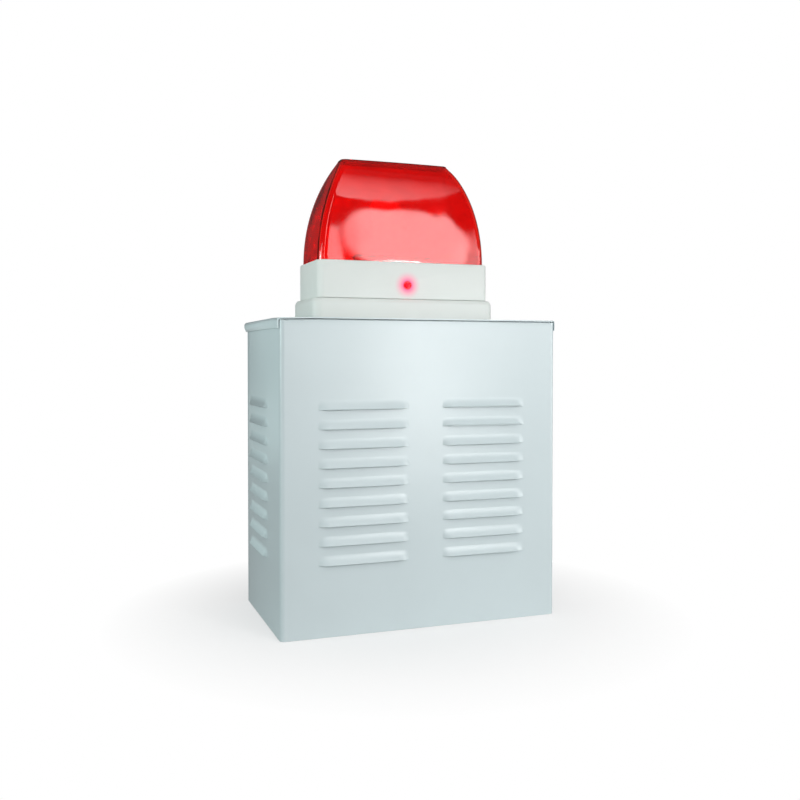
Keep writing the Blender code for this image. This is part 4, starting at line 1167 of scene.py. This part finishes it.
def softbox(name, place, aim, size, power, roll=0.0, tint=(1.0, 1.0, 1.0)):
    """A rectangular softbox at a place, facing the aim."""
    data = bpy.data.lights.new(name, "AREA")
    data.shape = "RECTANGLE"
    data.size, data.size_y = size
    data.energy = power
    data.color = tint
    return place_lamp(name, data, place, aim, roll)


def grade(lamp):
    """Let nodes set a softbox's brightness; returns its tree, place across it and brightness socket."""
    lamp.data.use_nodes = True
    tree = lamp.data.node_tree
    across = add_node(tree, "NewGeometry", {}).outputs["Parametric"]
    return tree, across, tree.nodes["Emission"].inputs["Strength"]


def soften(lamp, edge):
    """Make a softbox round and fade it out towards its rim, over a share of its width."""
    lamp.data.shape = "ELLIPSE"
    tree, across, strength = grade(lamp)
    flat = add_node(tree, "VectorMath", {0: across, 1: (1.0, 1.0, 0.0)}, operation="MULTIPLY")
    centred = add_node(tree, "VectorMath", {0: flat.outputs["Vector"], 1: (0.5, 0.5, 0.0)},
                       operation="DISTANCE")
    tree.links.new(spread(tree, centred.outputs["Value"], 1.0, 0.0, 0.5 - edge, 0.5), strength)


def slope(lamp, first, last, stop):
    """Grade a softbox's light across its width, from a first level to the last one at the stop."""
    tree, across, strength = grade(lamp)
    parts = add_node(tree, "SeparateXYZ", {"Vector": across})
    tree.links.new(spread(tree, parts.outputs["X"], first, last, 0.0, stop), strength)


def seen_share(tree, path):
    """One for what is looked at directly or through the lens, nothing for what only lights the object."""
    return add_node(tree, "Math", {0: path.outputs["Is Camera Ray"], 1: path.outputs["Is Transmission Ray"]},
                    operation="MAXIMUM").outputs["Value"]


class SIREN_OT_stage(bpy.types.Operator):
    """Lay the pale floor, light it softly and place the camera"""

    bl_idname = "siren.stage"
    bl_label = "Stage"

    def execute(self, context):
        stage = context.scene.siren_stage
        self.floor(stage)
        self.surroundings(context.scene, stage)
        self.lamps()
        self.camera(context.scene, stage)
        context.scene.view_settings.view_transform = "Standard"
        return {"FINISHED"}

    def lamps(self):
        """Softboxes for the front, the lens and the bend, and a spot for the side."""
        made = {name: softbox(name, at_angle(aim, *angle), aim, *values)
                for name, (aim, angle, *values) in SOFTBOXES.items()}
        soften(made["umbrella"], 0.10)
        soften(made["right_card"], 0.3)
        slope(made["overhead"], 1.0, 0.03, 0.74)
        softbox("strip", (0.46, -1.28, 0.21), (0.02, FRONT_Y, 0.20), (0.07, 0.44), 3.4)
        softbox("side_card", (-0.85, 1.4, 0.16), (-0.147, 0.0, 0.16), (0.80, 0.50), 1.3,
                tint=(0.75, 1.0, 1.0))
        beacon_fill = softbox("beacon_fill", (-0.90, 0.0, 0.44), (-0.09, 0.01, 0.37), (0.12, 0.06), 0.036,
                              tint=(0.94, 1.0, 0.98))
        beacon_fill.visible_glossy = False
        beacon_fill.data.spread = math.radians(18.0)
        spot = bpy.data.lights.new("side_spot", "SPOT")
        spot.energy = 15.0
        spot.color = (0.78, 1.0, 1.0)
        spot.spot_size = math.radians(44.0)
        spot.spot_blend = 1.0
        spot.shadow_soft_size = 0.12
        place_lamp("side_spot", spot, (-1.20, FRONT_Y, 0.35), (-0.147, -0.17, 0.12))

    def floor(self, stage):
        """A wide pale floor with a barely visible grain, which melts into the backdrop."""
        bm = bmesh.new()
        bmesh.ops.create_grid(bm, x_segments=1, y_segments=1, size=6.0)
        bmesh.ops.translate(bm, vec=(0.0, 0.0, -FLOOR_DROP), verts=bm.verts)
        mesh = bpy.data.meshes.new("floor")
        bm.to_mesh(mesh)
        bm.free()
        floor = bpy.data.objects.new("floor", mesh)
        bpy.context.scene.collection.objects.link(floor)
        made, tree, shader, place = start_finish("floor_finish", tuple(stage.floor), 0.85)
        mottle(tree, shader, noise(tree, place, 3.0), stage.floor, -0.005, 0.005)
        reach = add_node(tree, "VectorMath", {0: place}, operation="LENGTH").outputs["Value"]
        path = add_node(tree, "LightPath", {})
        brightness = spread(tree, seen_share(tree, path), stage.fill, stage.backdrop, 0.0, 1.0)
        glow = add_node(tree, "Emission", {"Strength": brightness})
        mix = add_node(tree, "MixShader", {"Fac": spread(tree, reach, 0.50, 1.0, *FLOOR_FADE),
                                           1: shader.outputs["BSDF"], 2: glow.outputs["Emission"]})
        tree.links.new(mix.outputs["Shader"], tree.nodes["Material Output"].inputs["Surface"])
        mesh.materials.append(made)

    def surroundings(self, scene, stage):
        """White behind the object, and a softer light from all round it, weaker still in reflections."""
        world = bpy.data.worlds.new("studio")
        world.use_nodes = True
        scene.world = world
        tree = world.node_tree
        tree.nodes.clear()
        white = (1.0, 1.0, 1.0, 1.0)
        path = add_node(tree, "LightPath", {})
        brightness = spread(tree, path.outputs["Is Glossy Ray"], stage.fill, 0.25 * stage.fill, 0.0, 1.0)
        seen = add_node(tree, "Background", {"Color": white, "Strength": stage.backdrop})
        lit = add_node(tree, "Background", {"Color": white, "Strength": brightness})
        mix = add_node(tree, "MixShader", {"Fac": seen_share(tree, path), 1: lit.outputs["Background"],
                                           2: seen.outputs["Background"]})
        add_node(tree, "OutputWorld", {"Surface": mix.outputs["Shader"]})

    def camera(self, scene, stage):
        """The camera stands low and to the left of the front."""
        data = bpy.data.cameras.new("camera")
        data.lens = stage.lens
        data.sensor_width = 36.0
        data.shift_y = CAMERA_SHIFT
        camera = bpy.data.objects.new("camera", data)
        scene.collection.objects.link(camera)
        camera.location = CAMERA_PLACE
        camera.rotation_euler = (math.radians(CAMERA_TILT), 0.0, math.radians(CAMERA_TURN))
        scene.camera = camera


# ---------------------------------------------------------------- panel and run

SETTINGS = {
    "siren_case": SirenCaseSettings,
    "siren_louvre": SirenLouvreSettings,
    "siren_beacon": SirenBeaconSettings,
    "siren_stage": SirenStageSettings,
}
OPERATORS = (SIREN_OT_finishes, SIREN_OT_cover_wrap, SIREN_OT_top_panel, SIREN_OT_screws,
             SIREN_OT_beacon_base, SIREN_OT_lens, SIREN_OT_beacon_inside, SIREN_OT_status_lamp,
             SIREN_OT_horn, SIREN_OT_battery, SIREN_OT_board_parts, SIREN_OT_stage)


class SIREN_PT_build(bpy.types.Panel):
    """Lists the siren's pieces and their sizes"""

    bl_idname = "SIREN_PT_build"
    bl_label = "Alarm siren"
    bl_space_type = "VIEW_3D"
    bl_region_type = "UI"
    bl_category = "Siren"

    def draw(self, context):
        for group in SETTINGS:
            box = self.layout.box()
            settings = getattr(context.scene, group)
            for name in settings.bl_rna.properties.keys():
                if name not in ("rna_type", "name"):
                    box.prop(settings, name)
        for operator in OPERATORS:
            self.layout.operator(operator.bl_idname)


def register():
    """Register the settings, operators and panel."""
    for name, settings in SETTINGS.items():
        bpy.utils.register_class(settings)
        setattr(bpy.types.Scene, name, bpy.props.PointerProperty(type=settings))
    for kind in (*OPERATORS, SIREN_PT_build):
        bpy.utils.register_class(kind)


def unregister():
    """Take everything back out."""
    for kind in (SIREN_PT_build, *reversed(OPERATORS)):
        bpy.utils.unregister_class(kind)
    for name, settings in SETTINGS.items():
        delattr(bpy.types.Scene, name)
        bpy.utils.unregister_class(settings)


def main():
    """Register everything, then build every piece in order and the stage."""
    register()
    bpy.ops.siren.finishes()
    bpy.ops.siren.cover_wrap()
    bpy.ops.siren.top_panel()
    bpy.ops.siren.screws()
    bpy.ops.siren.beacon_base()
    bpy.ops.siren.lens()
    bpy.ops.siren.beacon_inside()
    bpy.ops.siren.status_lamp()
    bpy.ops.siren.horn()
    bpy.ops.siren.battery()
    bpy.ops.siren.board_parts()
    bpy.ops.siren.stage()


if __name__ == "__main__":
    main()
